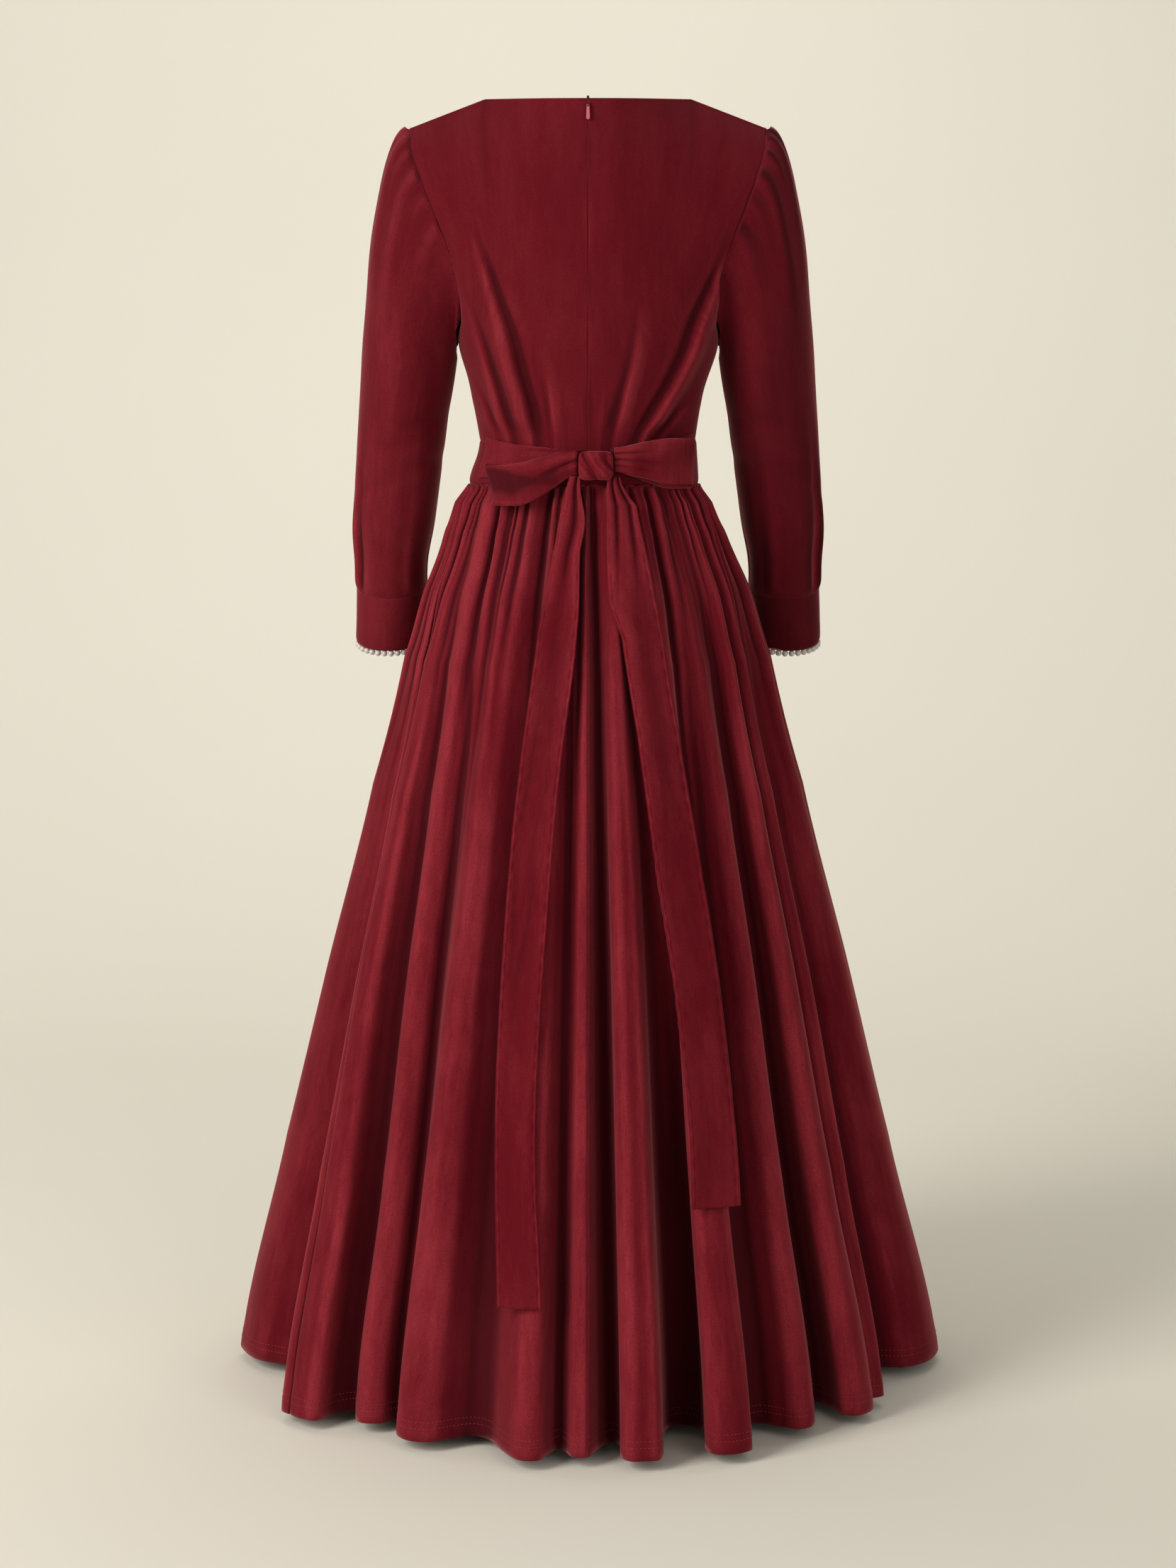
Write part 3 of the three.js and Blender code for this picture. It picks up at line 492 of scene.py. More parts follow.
def front_place(u, v):
    bare = front_form(u, v)
    edge = abs(1 - 2 * u)
    rise = tuck_height(FRONT_TUCKS, bare.x, bare.z) * ease(1.0, 0.93, edge)
    ripple = drift(bare.x * 0.02, bare.z * 0.012, 8.4) * 2.0 * ease(0.03, 0.25, v)
    return moved_out(front_form, u, v, WALL + rise + ripple, Vector((bare.x * 0.4, 100, 20)))


front = cut_cloth("velvet_front", 150, 120, front_place, (380, 350), bodice_velvet)
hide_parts("bodice_front")
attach(front, "dress")

# Sleeves: long and set in, with extra cloth gathered at the head and a little drawn into the cuff.
# A long soft tuck runs down the outer edge and ends in the cuff seam.
ARM = columns_of(
    ("z", "x", "y", "side", "deep", "tilt"),
    [
        (-262, 190, 14, 49, 57, 5), (-326, 197.5, 28, 46, 53, 8), (-409, 207.5, 50, 43.5, 48, 12),
        (-455, 212, 62, 42.5, 45, 14), (-490, 214, 72, 40, 41, 15), (-507, 214, 77, 36.5, 37, 16),
    ],
)
CAP_SHARE = 0.45
CAP_LIFT = 0.22
CAP_OUTWARD = 95
CAP_DOWNWARD = 170
LIE_GAP = 0.6
UNDERARM_X = 141.6
CAP_INSIDE_X = 190
UNDERARM_Z = -249


def ring_point(x, y, z, side, deep, tilt, turn):
    lean = math.radians(tilt)
    away = deep * math.sin(turn)
    return Vector((x + side * math.cos(turn), y - away * math.cos(lean), z - away * math.sin(lean)))


def arm_ring(place, turn):
    values = [curve_at(ARM[name], place) for name in ("x", "y", "z", "side", "deep", "tilt")]
    return ring_point(*values, turn)


def armhole_edge(turn):
    at_front = turn > math.pi
    around = 2 * math.pi - turn if at_front else turn
    v = around / math.pi * UNDERARM_ROW / SIDE_ROWS
    edge = bodice_form(1, v, at_front)
    heading = (edge - bodice_form(0.97, v, at_front)).normalized()
    under = ease(0.72 * math.pi, math.pi, around)
    head = 1 - ease(0, 0.35 * math.pi, around)
    edge += heading * LIE_GAP
    edge.x = lerp(edge.x, UNDERARM_X, under)
    edge.z = lerp(edge.z, UNDERARM_Z, under ** 3)
    heading = heading.lerp(Vector((1, 0, CAP_LIFT)), 0.35 + 0.65 * head)
    heading = heading.lerp(Vector((0.1, 0, -0.4)), under)
    return edge, heading


def sleeve_form(u, v):
    turn = (u % 1) * 2 * math.pi
    if v > CAP_SHARE:
        return arm_ring((v - CAP_SHARE) / (1 - CAP_SHARE) * (len(ARM["z"]) - 1), turn)
    share = max(0, v) / CAP_SHARE
    edge, heading = armhole_edge(turn)
    foot = arm_ring(0, turn)
    reach = (edge - foot).length
    start_pull = heading * min(CAP_OUTWARD, reach * 0.75)
    end_pull = Vector((0.08, 0.18, -1)) * min(CAP_DOWNWARD, reach * 0.9)
    square = share * share
    cube = square * share
    return (
        edge * (2 * cube - 3 * square + 1)
        + start_pull * (cube - 2 * square + share)
        + foot * (3 * square - 2 * cube)
        + end_pull * (cube - square)
    )


# Gathers of the head, as turn in degrees, height, width and how far down they fade
HEAD_GATHERS = [
    (-58, 2, 6, 0.12), (-42, 3, 6, 0.16), (-27, 3.4, 5, 0.1), (-13, 3.8, 5, 0.17), (1, 2.5, 5, 0.12),
    (14, 4, 4.6, 0.19), (27, 4.2, 4.2, 0.12), (42, 4.6, 5, 0.24), (60, 2.2, 5, 0.1), (84, 2.6, 6, 0.16),
]
# Tucks that run down into the cuff, as turn, height and width
LONG_TUCKS = [(24, 3.4, 7), (38, -2.6, 6), (-60, 2.2, 9), (120, 1.8, 10)]
# The cloth draws in over the cuff seam
CUFF_DRAW = {"z": -478, "reach": 32, "deep": 4.2}
# Soft creases at the elbow, as height, turn and depth
ELBOW_CREASES = [(-330, 118, 2.6), (-352, 96, 2.2), (-372, 140, 2.0), (-318, 250, 2.2), (-395, 60, 1.6)]


def sleeve_relief(u, v, z):
    degrees = (u % 1) * 360
    signed = degrees if degrees <= 180 else degrees - 360
    rise = 0
    for at, high, width, fade in HEAD_GATHERS:
        fold = bell(signed - at - 30 * v, width * (1 + v * 3))
        rise += high * fold * bell(v, fade) * ease(0, 0.02, v)
    rise -= CUFF_DRAW["deep"] * bell(z - CUFF_DRAW["z"], CUFF_DRAW["reach"])
    tuck_fade = ease(0.5, 0.82, v)
    for at, high, width in LONG_TUCKS:
        rise += high * bell(signed - at, width) * tuck_fade
    for height, at, high in ELBOW_CREASES:
        line = height + 0.16 * (degrees - at)
        rise -= high * math.exp(-(((z - line) / 9) ** 2) - ((degrees - at) / 42) ** 2)
    rise += drift(signed * 0.022, z * 0.012, 5.5) * 2.2 * ease(0.02, 0.2, v)
    return rise


CUFF = {"top": (214, 77.15, -507.5, 36.5, 37, 16), "foot": (218, 94, -563, 35.5, 35.5, 17)}
# The cuff starts just inside the sleeve and hangs a little over the tape of the beads
CUFF_ENDS = (-0.008, 1.045)


def cuff_form(u, v):
    values = [lerp(first, second, v) for first, second in zip(CUFF["top"], CUFF["foot"])]
    return ring_point(*values, (u % 1) * 2 * math.pi)


def cuff_outward(u, v):
    return cuff_form(u, v) - cuff_form(0, v).lerp(cuff_form(0.5, v), 0.5)


for side, sign in (("left", -1), ("right", 1)):

    def sleeve_place(u, v, sign=sign):
        bare = sleeve_form(u, v)
        inside = Vector((CAP_INSIDE_X, bare.y * 0.2 + 10, bare.z))
        if v >= CAP_SHARE:
            place = (v - CAP_SHARE) / (1 - CAP_SHARE) * (len(ARM["z"]) - 1)
            inside = arm_ring(place, 0).lerp(arm_ring(place, math.pi), 0.5)
        shut = 1 - ease(0.9, 1, v)
        away = WALL + sleeve_relief(u + (0.004 if sign > 0 else 0), v, bare.z) * shut
        out = moved_out(sleeve_form, u, v, away, bare - inside)
        return Vector((sign * out.x, out.y, out.z))

    sleeve = cut_cloth(
        "velvet_sleeve_" + side, 150, 190, sleeve_place, (330, 560), sleeve_velvet, closed=True
    )
    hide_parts("sleeve_" + side)
    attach(sleeve, "dress")

    # Cuff: a straight band, folded double and turned in at its foot
    def cuff_place(u, v, sign=sign):
        at = lerp(CUFF_ENDS[0], CUFF_ENDS[1], v)
        bare = cuff_form(u, at)
        roll = 0.1 + 0.9 * bell(1 - v, 0.05)
        turn = u * 6.283
        soft = drift(math.cos(turn) * 1.4, math.sin(turn) * 1.4, v * 2 + sign) * 0.7
        away = WALL - roll + soft * ease(0, 0.3, v)
        out = moved_out(cuff_form, u, v, away, cuff_outward(u, at)) + bare - cuff_form(u, v)
        return Vector((sign * out.x, out.y, out.z))

    cuff = cut_cloth("velvet_cuff_" + side, 96, 30, cuff_place, (235, 57), sleeve_velvet, closed=True)
    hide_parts("cuff_" + side)
    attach(cuff, "dress")

# Pearl edge: a narrow tape under the cuff that carries a close row of round pearl beads on a thread.
# The beads touch each other, and each differs a little in size.
pearl_coat, _, shader, _ = mottled(
    "pearl coat", 160, (0.58, 0.55, 0.52), (0.47, 0.43, 0.42), (0.20, 0.14)
)
shader.inputs["Subsurface Weight"].default_value = 0.7
shader.inputs["Subsurface Radius"].default_value = (1.0, 0.9, 0.8)
shader.inputs["Subsurface Scale"].default_value = 0.004
shader.inputs["Coat Weight"].default_value = 0.6
shader.inputs["Coat Roughness"].default_value = 0.12
shader.inputs["Specular IOR Level"].default_value = 0.6

tape_weave, tree, shader, weave = mottled(
    "bead tape", 1400, (0.46, 0.24, 0.24), (0.28, 0.09, 0.10), (0.75, 0.15)
)
tape_bump = add_node(tree, "ShaderNodeBump", {}, {"Strength": 0.5, "Distance": 0.0003, "Height": weave})
feed(tree, shader, Normal=tape_bump)

PEARL_RADIUS = 3.5
BEADS = 30
BEADS_INSIDE = 1.1
TAPE_OUTSIDE = 0.9
cuff_long = (Vector(CUFF["top"][:3]) - Vector(CUFF["foot"][:3])).length
tape_from = 1 + SEAM_GAP / cuff_long
tape_to = tape_from + 2 / cuff_long
bead_at = tape_to + (SEAM_GAP + PEARL_RADIUS) / cuff_long
for side, sign in (("left", -1), ("right", 1)):

    def tape_place(u, v, sign=sign):
        at = lerp(tape_from - 0.012, tape_to, v)
        out = cuff_form(u, at) + cuff_outward(u, at).normalized() * TAPE_OUTSIDE
        return Vector((sign * out.x, out.y, out.z))

    tape = cut_cloth("bead_tape_" + side, 96, 2, tape_place, (235, 3), tape_weave, closed=True, thickness=1)
    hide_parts("pearl_tape_" + side)
    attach(tape, "dress")

    strand = bmesh.new()
    for i in range(BEADS):
        turn = i / BEADS
        heart = cuff_form(turn, bead_at) - cuff_outward(turn, bead_at).normalized() * BEADS_INSIDE
        size = PEARL_RADIUS * (0.985 + 0.02 * math.sin(i * 2.4))
        spot = Matrix.Translation(Vector((sign * heart.x, heart.y, heart.z)) * MM)
        bmesh.ops.create_uvsphere(strand, u_segments=20, v_segments=14, radius=size * MM, matrix=spot)
    beads = add_piece("pearl_beads_" + side, strand, pearl_coat)
    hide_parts("pearl_trim_" + side)
    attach(beads, "dress")

# Waistband: a flat band between bodice and skirt, cut in a front and two back pieces. It is folded double,
# holds the feet of the bodice's tucks and lies mostly under the sash.
SKIRT_TOP_Z = -394
# The wearer's left side stands out a little more from the waistband on, as the dress is turned in the photo
FLARE = {"left": 8.5, "right": 0.5, "from": -350, "full": -392, "foot": -500}


def side_flare(turn, z):
    share = 0.5 - 0.5 * math.sin(turn)
    rise = ease(FLARE["from"], FLARE["full"], z) * (1 - ease(FLARE["full"], FLARE["foot"], z))
    return lerp(FLARE["right"], FLARE["left"], share) * rise


WAIST_ROUND = {"tall": 48, "across": (112, 115), "back": (84, 88), "front": (96, 97)}


def waist_point(angle, z, off):
    turn = math.radians(angle)
    down = (WAIST_Z - z) / WAIST_ROUND["tall"]
    across = lerp(*WAIST_ROUND["across"], down) + side_flare(turn, z)
    deep = lerp(*WAIST_ROUND["back" if math.cos(turn) > 0 else "front"], down)
    return Vector(((across + off) * math.sin(turn), -(deep + off) * math.cos(turn), z))


BAND_PIECES = [
    {"node": "waistband_back_left", "from": -90, "to": 0, "columns": 60, "long": 158},
    {"node": "waistband_back_right", "from": 0, "to": 90, "columns": 60, "long": 158},
    {"node": "waistband_front", "from": 90, "to": 270, "columns": 110, "long": 330},
]
for band in BAND_PIECES:

    def band_place(u, v, band=band):
        angle = lerp(band["from"] + 0.1, band["to"] - 0.1, u)
        top = WAIST_Z - WAIST_DIP * abs(math.cos(math.radians(angle))) - 0.8
        z = lerp(top, SKIRT_TOP_Z + 0.4, v)
        roll = 1.1 * (bell(v, 0.06) + bell(1 - v, 0.06))
        soft = drift(angle * 0.06, z * 0.03, 1.7) * 0.8
        bare = waist_point(angle, z, 0)
        caught = 0.5 * tuck_height(TUCKS, bare.x, WAIST_Z) * (1 - v) if bare.y < 0 else 0
        return waist_point(angle, z, WALL + 0.3 - roll + soft + caught)

    waistband = cut_cloth(
        "velvet_" + band["node"], band["columns"], 24, band_place, (band["long"], 48), bodice_velvet
    )
    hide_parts(band["node"])
    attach(waistband, "dress")

# Skirt: one wide front and two back panels, gathered small into the waistband. The gathers run together
# into deep cone folds that open toward the level hem, unevenly, as the cloth falls.
SKIRT = columns_of(
    ("z", "side", "back", "front"),
    [
        (-394, 117, 90, 99), (-412, 130, 99, 106), (-444, 145, 112, 116), (-506, 172, 138, 136),
        (-577, 194, 160, 156), (-713, 229, 194, 188), (-903, 278, 243, 236), (-1100, 326, 295, 286),
        (-1340, 382, 364, 350),
    ],
)
HEM_Z = -1340
# The line of the hem from above, round from the wearer's left side over the back: the place of each point
# in degrees from the centre back, and how many mm it lies inside the plain round of the skirt
HEM_LINE = columns_of(
    ("at", "inside"),
    [
        (-92, 0), (-84, 22), (-80, 46), (-75, 76), (-67, 74), (-61, 34), (-56, 3), (-53, 0),
        (-50, 1), (-47.6, 10), (-48.4, 38), (-47, 60), (-44.5, 46), (-41.5, 37), (-38.8, 48),
        (-37.6, 70), (-35, 54), (-33, 32), (-29.5, 21), (-26, 26), (-23.5, 46), (-20.5, 59),
        (-17, 52), (-13.6, 26), (-10.4, 3), (-7.5, 3), (-6.2, 22), (-5, 38), (-3.6, 30), (-2.4, 16),
        (0, 16), (2, 44), (4.2, 60), (5.6, 44), (5, 18), (6.2, 2), (8.4, 0), (10.6, 2), (12, 24),
        (13.4, 62), (16, 92), (19.4, 98), (21.8, 80), (20.8, 54), (19, 28), (19, 8), (21, 0),
        (23.4, 0), (25.6, 8), (27.4, 40), (30.4, 66), (33.6, 68), (35.4, 50), (37, 33), (40, 31),
        (44, 50), (48, 76), (50.8, 80), (50, 58), (48.2, 34), (49.6, 19), (53, 18), (56, 28),
        (57.8, 46), (59.2, 35), (61.5, 31), (63.5, 46), (67, 74), (72.5, 84), (77.2, 64),
        (78.4, 36), (82.5, 12), (88, 1), (93.5, 0), (98.5, 14), (102, 42), (106.5, 62), (111, 50),
        (114, 20), (118.5, 0), (123.5, 2), (127, 22), (128.5, 54), (132.5, 80), (138, 70),
        (140, 36), (142.5, 6), (147, 0), (151.5, 12), (154, 42), (158.5, 60), (163, 44), (166, 14),
        (171, 0), (176, 8), (178, 40), (181, 76), (186.5, 86), (190, 60), (190.5, 24), (194.5, 0),
        (199.5, 6), (202.5, 34), (207, 56), (212, 44), (215.5, 14), (220.5, 0), (225.5, 10),
        (227.5, 42), (231.5, 70), (237, 62), (239.5, 30), (243, 4), (248, 0), (252, 20), (256, 46),
        (261, 34), (264.5, 10),
    ],
)
HEM_COUNT = len(HEM_LINE["at"])
GATHER_REACH = 4
SWING = {"at": -52, "spread": 16, "turn": 12}
FOLD_GROWTH = {"turn": 0.7, "depth": 0.9}
# The fold by the right tail opens late, and one ridge at the left is broad and smooth and gets a painted
# highlight
DEEP_FOLD = {"place": 41, "spread": 3.4, "late": 1.1}
BROAD_RIDGE = {"place": 12.4, "spread": 1.3, "painted_light": 0.36, "painted_light_spread": 0.95}


def skirt_row(z):
    place = row_place(SKIRT["z"], z)
    return tuple(curve_at(SKIRT[name], place) for name in ("side", "back", "front"))


def hem_value(row, name):
    lap = 360 * (row // HEM_COUNT) if name == "at" else 0
    return HEM_LINE[name][row % HEM_COUNT] + lap


def hem_curve(place, name):
    row = math.floor(place)
    return curve_at([hem_value(row + i, name) for i in (-1, 0, 1, 2)], 1 + place - row)


def waist_start(place):
    row = math.floor(place)
    share = place - row
    near = range(-GATHER_REACH, GATHER_REACH + 1)
    sums = [sum(hem_value(row + j + i, "at") for i in near) for j in (0, 1)]
    mean = lerp(sums[0], sums[1], share) / (2 * GATHER_REACH + 1)
    apart = (mean - SWING["at"] + 540) % 360 - 180
    return mean - SWING["turn"] * bell(apart, SWING["spread"])


# Gathers at the waist seam: count round the waist, height and drop over which they fade in mm, and start
GATHERS = [(83, 1.6, 60, 0.3), (61, 3.0, 120, 1.9), (43, 4.6, 240, 0.7), (29, 3.6, 420, 2.6)]
# How much sharper a gather's valley is than its top
GATHER_LEAN = 0.35


def gathers(angle, drop):
    wander = 1.9 * math.sin(math.radians(angle * 5.3)) + 1.3 * math.sin(math.radians(angle * 11.7 + 40))
    wander += 3.2 * drift(angle * 0.13, 5.2, 0.4)
    total = 0
    for count, high, fade, start in GATHERS:
        strength = 0.65 + 0.6 * drift(angle * 0.09, start * 3, 7)
        wave = math.sin(math.radians(angle + wander * 0.8) * count + start)
        shape = wave - GATHER_LEAN * wave * wave - GATHER_LEAN
        total += high * strength * shape * bell(drop, fade)
    return total * ease(0, 7, drop)


# Hem: turned in once and caught by two rows of stitches, given by their height over the edge
HEM_TURN = 21
HEM_RAISED = 0.7
SEAM_GROOVE = 0.7
HEM_STITCH_ROWS = (19, 12.5)
STITCH_PITCH = 4.2
STITCH_LONG = 2.9
STITCH_THICK = 0.26
STITCH_STEP = 0.05
stitch_thread = mottled("hem thread", 1800, (0.30, 0.045, 0.055), (0.17, 0.015, 0.022), (0.5, 0.2))[0]


def skirt_form(place, z, raised=0):
    drop = SKIRT_TOP_Z - z
    height = drop / (SKIRT_TOP_Z - HEM_Z)
    side, back, front_deep = skirt_row(z)
    angle = lerp(waist_start(place), hem_curve(place, "at"), height ** FOLD_GROWTH["turn"])
    late = DEEP_FOLD["late"] * bell(place % HEM_COUNT - DEEP_FOLD["place"], DEEP_FOLD["spread"])
    inside = max(-3, hem_curve(place, "inside")) * height ** (FOLD_GROWTH["depth"] + late)
    turn = math.radians(angle)
    side += side_flare(turn, z)
    deep = back if math.cos(turn) > 0 else front_deep
    wave = drift(angle * 0.12, z * 0.003, 12.3) * 3.0 * ease(0.05, 0.4, height)
    calm = 1 - 0.75 * bell(place % HEM_COUNT - BROAD_RIDGE["place"], BROAD_RIDGE["spread"])
    off = WALL - inside + gathers(angle, drop) * calm + wave + raised
    return Vector(((side + off) * math.sin(turn), -(deep + off) * math.cos(turn), z))


LEFT_SEAM = HEM_LINE["at"].index(-53)
BACK_SEAM = HEM_LINE["at"].index(0)
RIGHT_SEAM = HEM_LINE["at"].index(56)
SKIRT_PIECES = [
    {"node": "skirt_back_left", "from": LEFT_SEAM, "to": BACK_SEAM, "columns": 270, "rows": 130,
     "cut": (0.50, 0.97), "area": 0.33},
    {"node": "skirt_back_right", "from": BACK_SEAM, "to": RIGHT_SEAM, "columns": 340, "rows": 130,
     "cut": (0.70, 0.97), "area": 0.42},
    {"node": "skirt_front", "from": RIGHT_SEAM, "to": LEFT_SEAM + HEM_COUNT, "columns": 560, "rows": 100,
     "cut": (2.0, 0.97), "area": 1.25},
]
for panel in SKIRT_PIECES:

    def panel_place(u, v, panel=panel):
        z = lerp(SKIRT_TOP_Z, HEM_Z, v ** 1.12)
        place = lerp(panel["from"], panel["to"], u)
        from_seam = min(place - panel["from"], panel["to"] - place)
        raised = HEM_RAISED * ease(HEM_TURN + 1.5, HEM_TURN - 1.5, z - HEM_Z)
        raised -= SEAM_GROOVE * bell(from_seam, 0.07)
        return skirt_form(place, z, raised)

    # Painted highlight along the broad ridge, from just below the waist and fading toward the hem
    def panel_painted_light(u, v, panel=panel):
        place = lerp(panel["from"], panel["to"], u) % HEM_COUNT
        ridge_highlight = bell(place - BROAD_RIDGE["place"], BROAD_RIDGE["painted_light_spread"])
        return BROAD_RIDGE["painted_light"] * ridge_highlight * ease(0.0, 0.06, v) * (1 - ease(0.4, 0.95, v))

    skirt = cut_cloth(
        "velvet_" + panel["node"], panel["columns"], panel["rows"], panel_place,
        (panel["cut"][0] * 800, 950), skirt_velvet, painted_light=panel_painted_light,
    )
    stitches = bmesh.new()
    for above in HEM_STITCH_ROWS:
        z = HEM_Z + above
        place = panel["from"] + 0.1
        while place < panel["to"] - 0.1:
            here = skirt_form(place, z, HEM_RAISED + 0.1)
            along = skirt_form(place + STITCH_STEP, z, HEM_RAISED + 0.1) - here
            spot = Matrix.Translation(here * MM) @ along.to_track_quat("X", "Z").to_matrix().to_4x4()
            size = Matrix.Diagonal((STITCH_LONG / 2, STITCH_THICK, STITCH_THICK, 1))
            bmesh.ops.create_icosphere(stitches, subdivisions=1, radius=MM, matrix=spot @ size)
            place += STITCH_STEP * STITCH_PITCH / along.length
    hem_stitches = add_piece("hem_stitches_" + panel["node"], stitches, stitch_thread)
    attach(hem_stitches, "dress")
    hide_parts(panel["node"])
    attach(skirt, "dress")

# Sash: two straps sewn in at the side seams and tied at the back in a bow with two loops and two tails.
# Each strap is pleated together toward the knot and lies on the waistband.
SASH_WIDE = 48
STRAP_KNOT_Z = -357
STRAP_WIDTH = {"side": 47, "knot": 27}
STRAP_FOLD = 2.4
STRAP_OVER_TUCKS = 2.2
# The last value of each strap is painted light on the left strap and painted shade on the right one
STRAPS = [
    {"node": "sash_strap_left", "from": -66, "to": -7, "side": -340, "columns": 90, "long": 0.108,
     "painted_light": 0.08},
    {"node": "sash_strap_right", "from": 11, "to": 79, "side": -336, "columns": 100, "long": 0.136,
     "painted_light": -0.12},
]


def strap_crease(angle, v):
    pinch = ease(0.6, 1, math.cos(math.radians(angle)) ** 1.5)
    return pinch * (abs(math.sin(v * math.pi * 2.6 + angle * 0.03)) ** 0.7 - 0.5)


for strap in STRAPS:

    def strap_place(u, v, strap=strap):
        angle = lerp(strap["from"], strap["to"], u)
        near_knot = math.cos(math.radians(angle)) ** 1.5
        top = lerp(strap["side"], STRAP_KNOT_Z, near_knot)
        width = lerp(STRAP_WIDTH["side"], STRAP_WIDTH["knot"], near_knot)
        soft = 0.6 * drift(angle * 0.08, v * 3, 4.4)
        folds = STRAP_FOLD * strap_crease(angle, v) + soft
        over_tucks = STRAP_OVER_TUCKS * (1 - ease(0.05, 0.4, v)) * math.cos(math.radians(angle))
        over_tucks -= 2 * ease(60, 78, abs(angle))
        return waist_point(angle, top - width * v, WALL * 2 + LIE_GAP + 0.3 + max(0, folds) + over_tucks)

    # Painted light and shade on the strap: its constant, and lighter crease tops with darker crease valleys
    def strap_painted_light(u, v, strap=strap):
        return strap["painted_light"] + 0.3 * strap_crease(lerp(strap["from"], strap["to"], u), v)

    piece = cut_cloth(
        "velvet_" + strap["node"], strap["columns"], 36, strap_place, (130, 47), sash_velvet,
        thickness=1.4, painted_light=strap_painted_light,
    )
    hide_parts(strap["node"])
    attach(piece, "dress")
    cut = strap["long"] * 0.036

# In each loop, the constant darkens the left loop a little as painted shade and lightens the right loop as
# painted light. The list after it holds patches of painted highlight and painted shade as (along, down,
# wide, high, amount).
LOOPS = [
    {
        "node": "bow_loop_left",
        "near": (-11.2, -357, -382),
        "top": (-107.5, -371),
        "foot": (-95, -414),
        "seat": 0.3, "gape": 3.5, "under": 0,
        "folds": 2.2, "phase": 0.03, "pinch": 0.5, "painted_light": -0.04,
        "nap_streaks_and_painted_patches": [
            (0.35, 0.2, 0.35, 0.2, 0.18),
            (0.85, 0.45, 0.2, 0.3, -0.16),
            (0.95, 0.95, 0.3, 0.12, 0.1),
        ],
    },
    {
        "node": "bow_loop_right",
        "near": (27.2, -355.5, -379),
        "top": (111, -345),
        "foot": (109.5, -397),
        "seat": 0.7, "gape": 1.5, "under": 5,
        "folds": 4, "phase": 0.2, "pinch": 0.7, "painted_light": 0.15,
        "nap_streaks_and_painted_patches": [(0.5, 0.2, 0.2, 0.18, 0.2), (0.9, 0.5, 0.3, 0.5, 0.06)],
    },
]
LOOP_OFF = WALL * 2 + LIE_GAP * 2 + 0.1
LOOP_PUFF = 15
LOOP_BELLY = 4.5
LOOP_FOLD = 4.6
# The rounds that the loop lies on: the waistband, and the skirt with a little room beside it
BAND_ROUND = {"deep": 88, "half": 125}
SKIRT_ROOM = 8


# How far round its turn a place of the loop is, and how far out from the knot it lies
def loop_way(u):
    around = lerp(0.02, 0.98, u)
    return around, (math.sin(math.pi * around) ** 0.8 - 0.11) / 0.89


# Creases that run out from the knot, sharp in their valleys, then one soft wave toward the loop's end
def loop_crease(loop, along, v):
    pinch = 1 - ease(0.05, loop["pinch"], along)
    spread = v * math.pi * loop["folds"] + loop["phase"] - along * 0.7
    sharp = (abs(math.sin(spread)) ** 0.65 - 0.62) * (1 - 0.7 * ease(0.6, 0.85, v))
    wave = 0.3 * math.sin(v * math.pi * 1.7 + along * 3.4 + loop["phase"])
    return pinch * sharp + (1 - pinch) * wave


for loop in LOOPS:
    to_right = loop["top"][0] > 0

    def loop_place(u, v, loop=loop, to_right=to_right):
        around, along = loop_way(u)
        far_x = lerp(loop["top"][0], loop["foot"][0], v)
        far_z = lerp(loop["top"][1], loop["foot"][1], v)
        near_x, near_top, near_foot = loop["near"]
        x = lerp(near_x, far_x, along)
        spread = ease(0, 0.75, along) ** 0.8
        z = lerp(lerp(near_top, near_foot, v), far_z, spread)
        band_rest = -BAND_ROUND["deep"] * math.sqrt(1 - (x / BAND_ROUND["half"]) ** 2) - LOOP_OFF
        side, back, _ = skirt_row(min(z, SKIRT_TOP_Z))
        skirt_rest = -back * math.sqrt(1 - (x / (side + SKIRT_ROOM)) ** 2) - WALL - LIE_GAP - 1.5
        puff = LOOP_PUFF * (0.5 - 0.5 * math.cos(math.pi * around)) * (0.45 + 0.55 * along)
        soft = drift(x * 0.05, z * 0.06, 2.2 + around * 2) * 1.5
        outer = ease(0.35, 0.65, around)
        belly = LOOP_BELLY * (math.sin(math.pi * v) ** 0.6) * ease(0.02, 0.3, along)
        relief = max(-1.5, LOOP_FOLD * loop_crease(loop, along, v) + soft) + 1.5 + belly
        y = min(band_rest, skirt_rest) + loop["seat"] - puff - outer * relief
        z -= outer * loop["gape"] * (1 - v) ** 4 * ease(0.45, 1, along)
        z += outer * loop["under"] * v ** 4 * ease(0.1, 0.5, along)
        return Vector((x, y, z))

    # Painted light and shade on the loop: a painted highlight along its top edge, the patches, the
    # constant, and lighter crease tops with darker crease valleys
    def loop_painted_light(u, v, loop=loop):
        around, along = loop_way(u)
        top_light = 0.14 * bell(v, 0.08)
        painted_patches = sum(
            amount * math.exp(-(((along - at) / wide) ** 2) - ((v - down) / high) ** 2)
            for at, down, wide, high, amount in loop["nap_streaks_and_painted_patches"]
        )
        return loop["painted_light"] + painted_patches + top_light + 0.42 * loop_crease(loop, along, v)

    piece = cut_cloth(
        "velvet_" + loop["node"], 150, 60, loop_place, (215, SASH_WIDE), sash_velvet,
        thickness=1.5, flip=not to_right, painted_light=loop_painted_light,
    )
    piece.modifiers["wall"].offset = 0
    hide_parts(loop["node"])
    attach(piece, "dress")

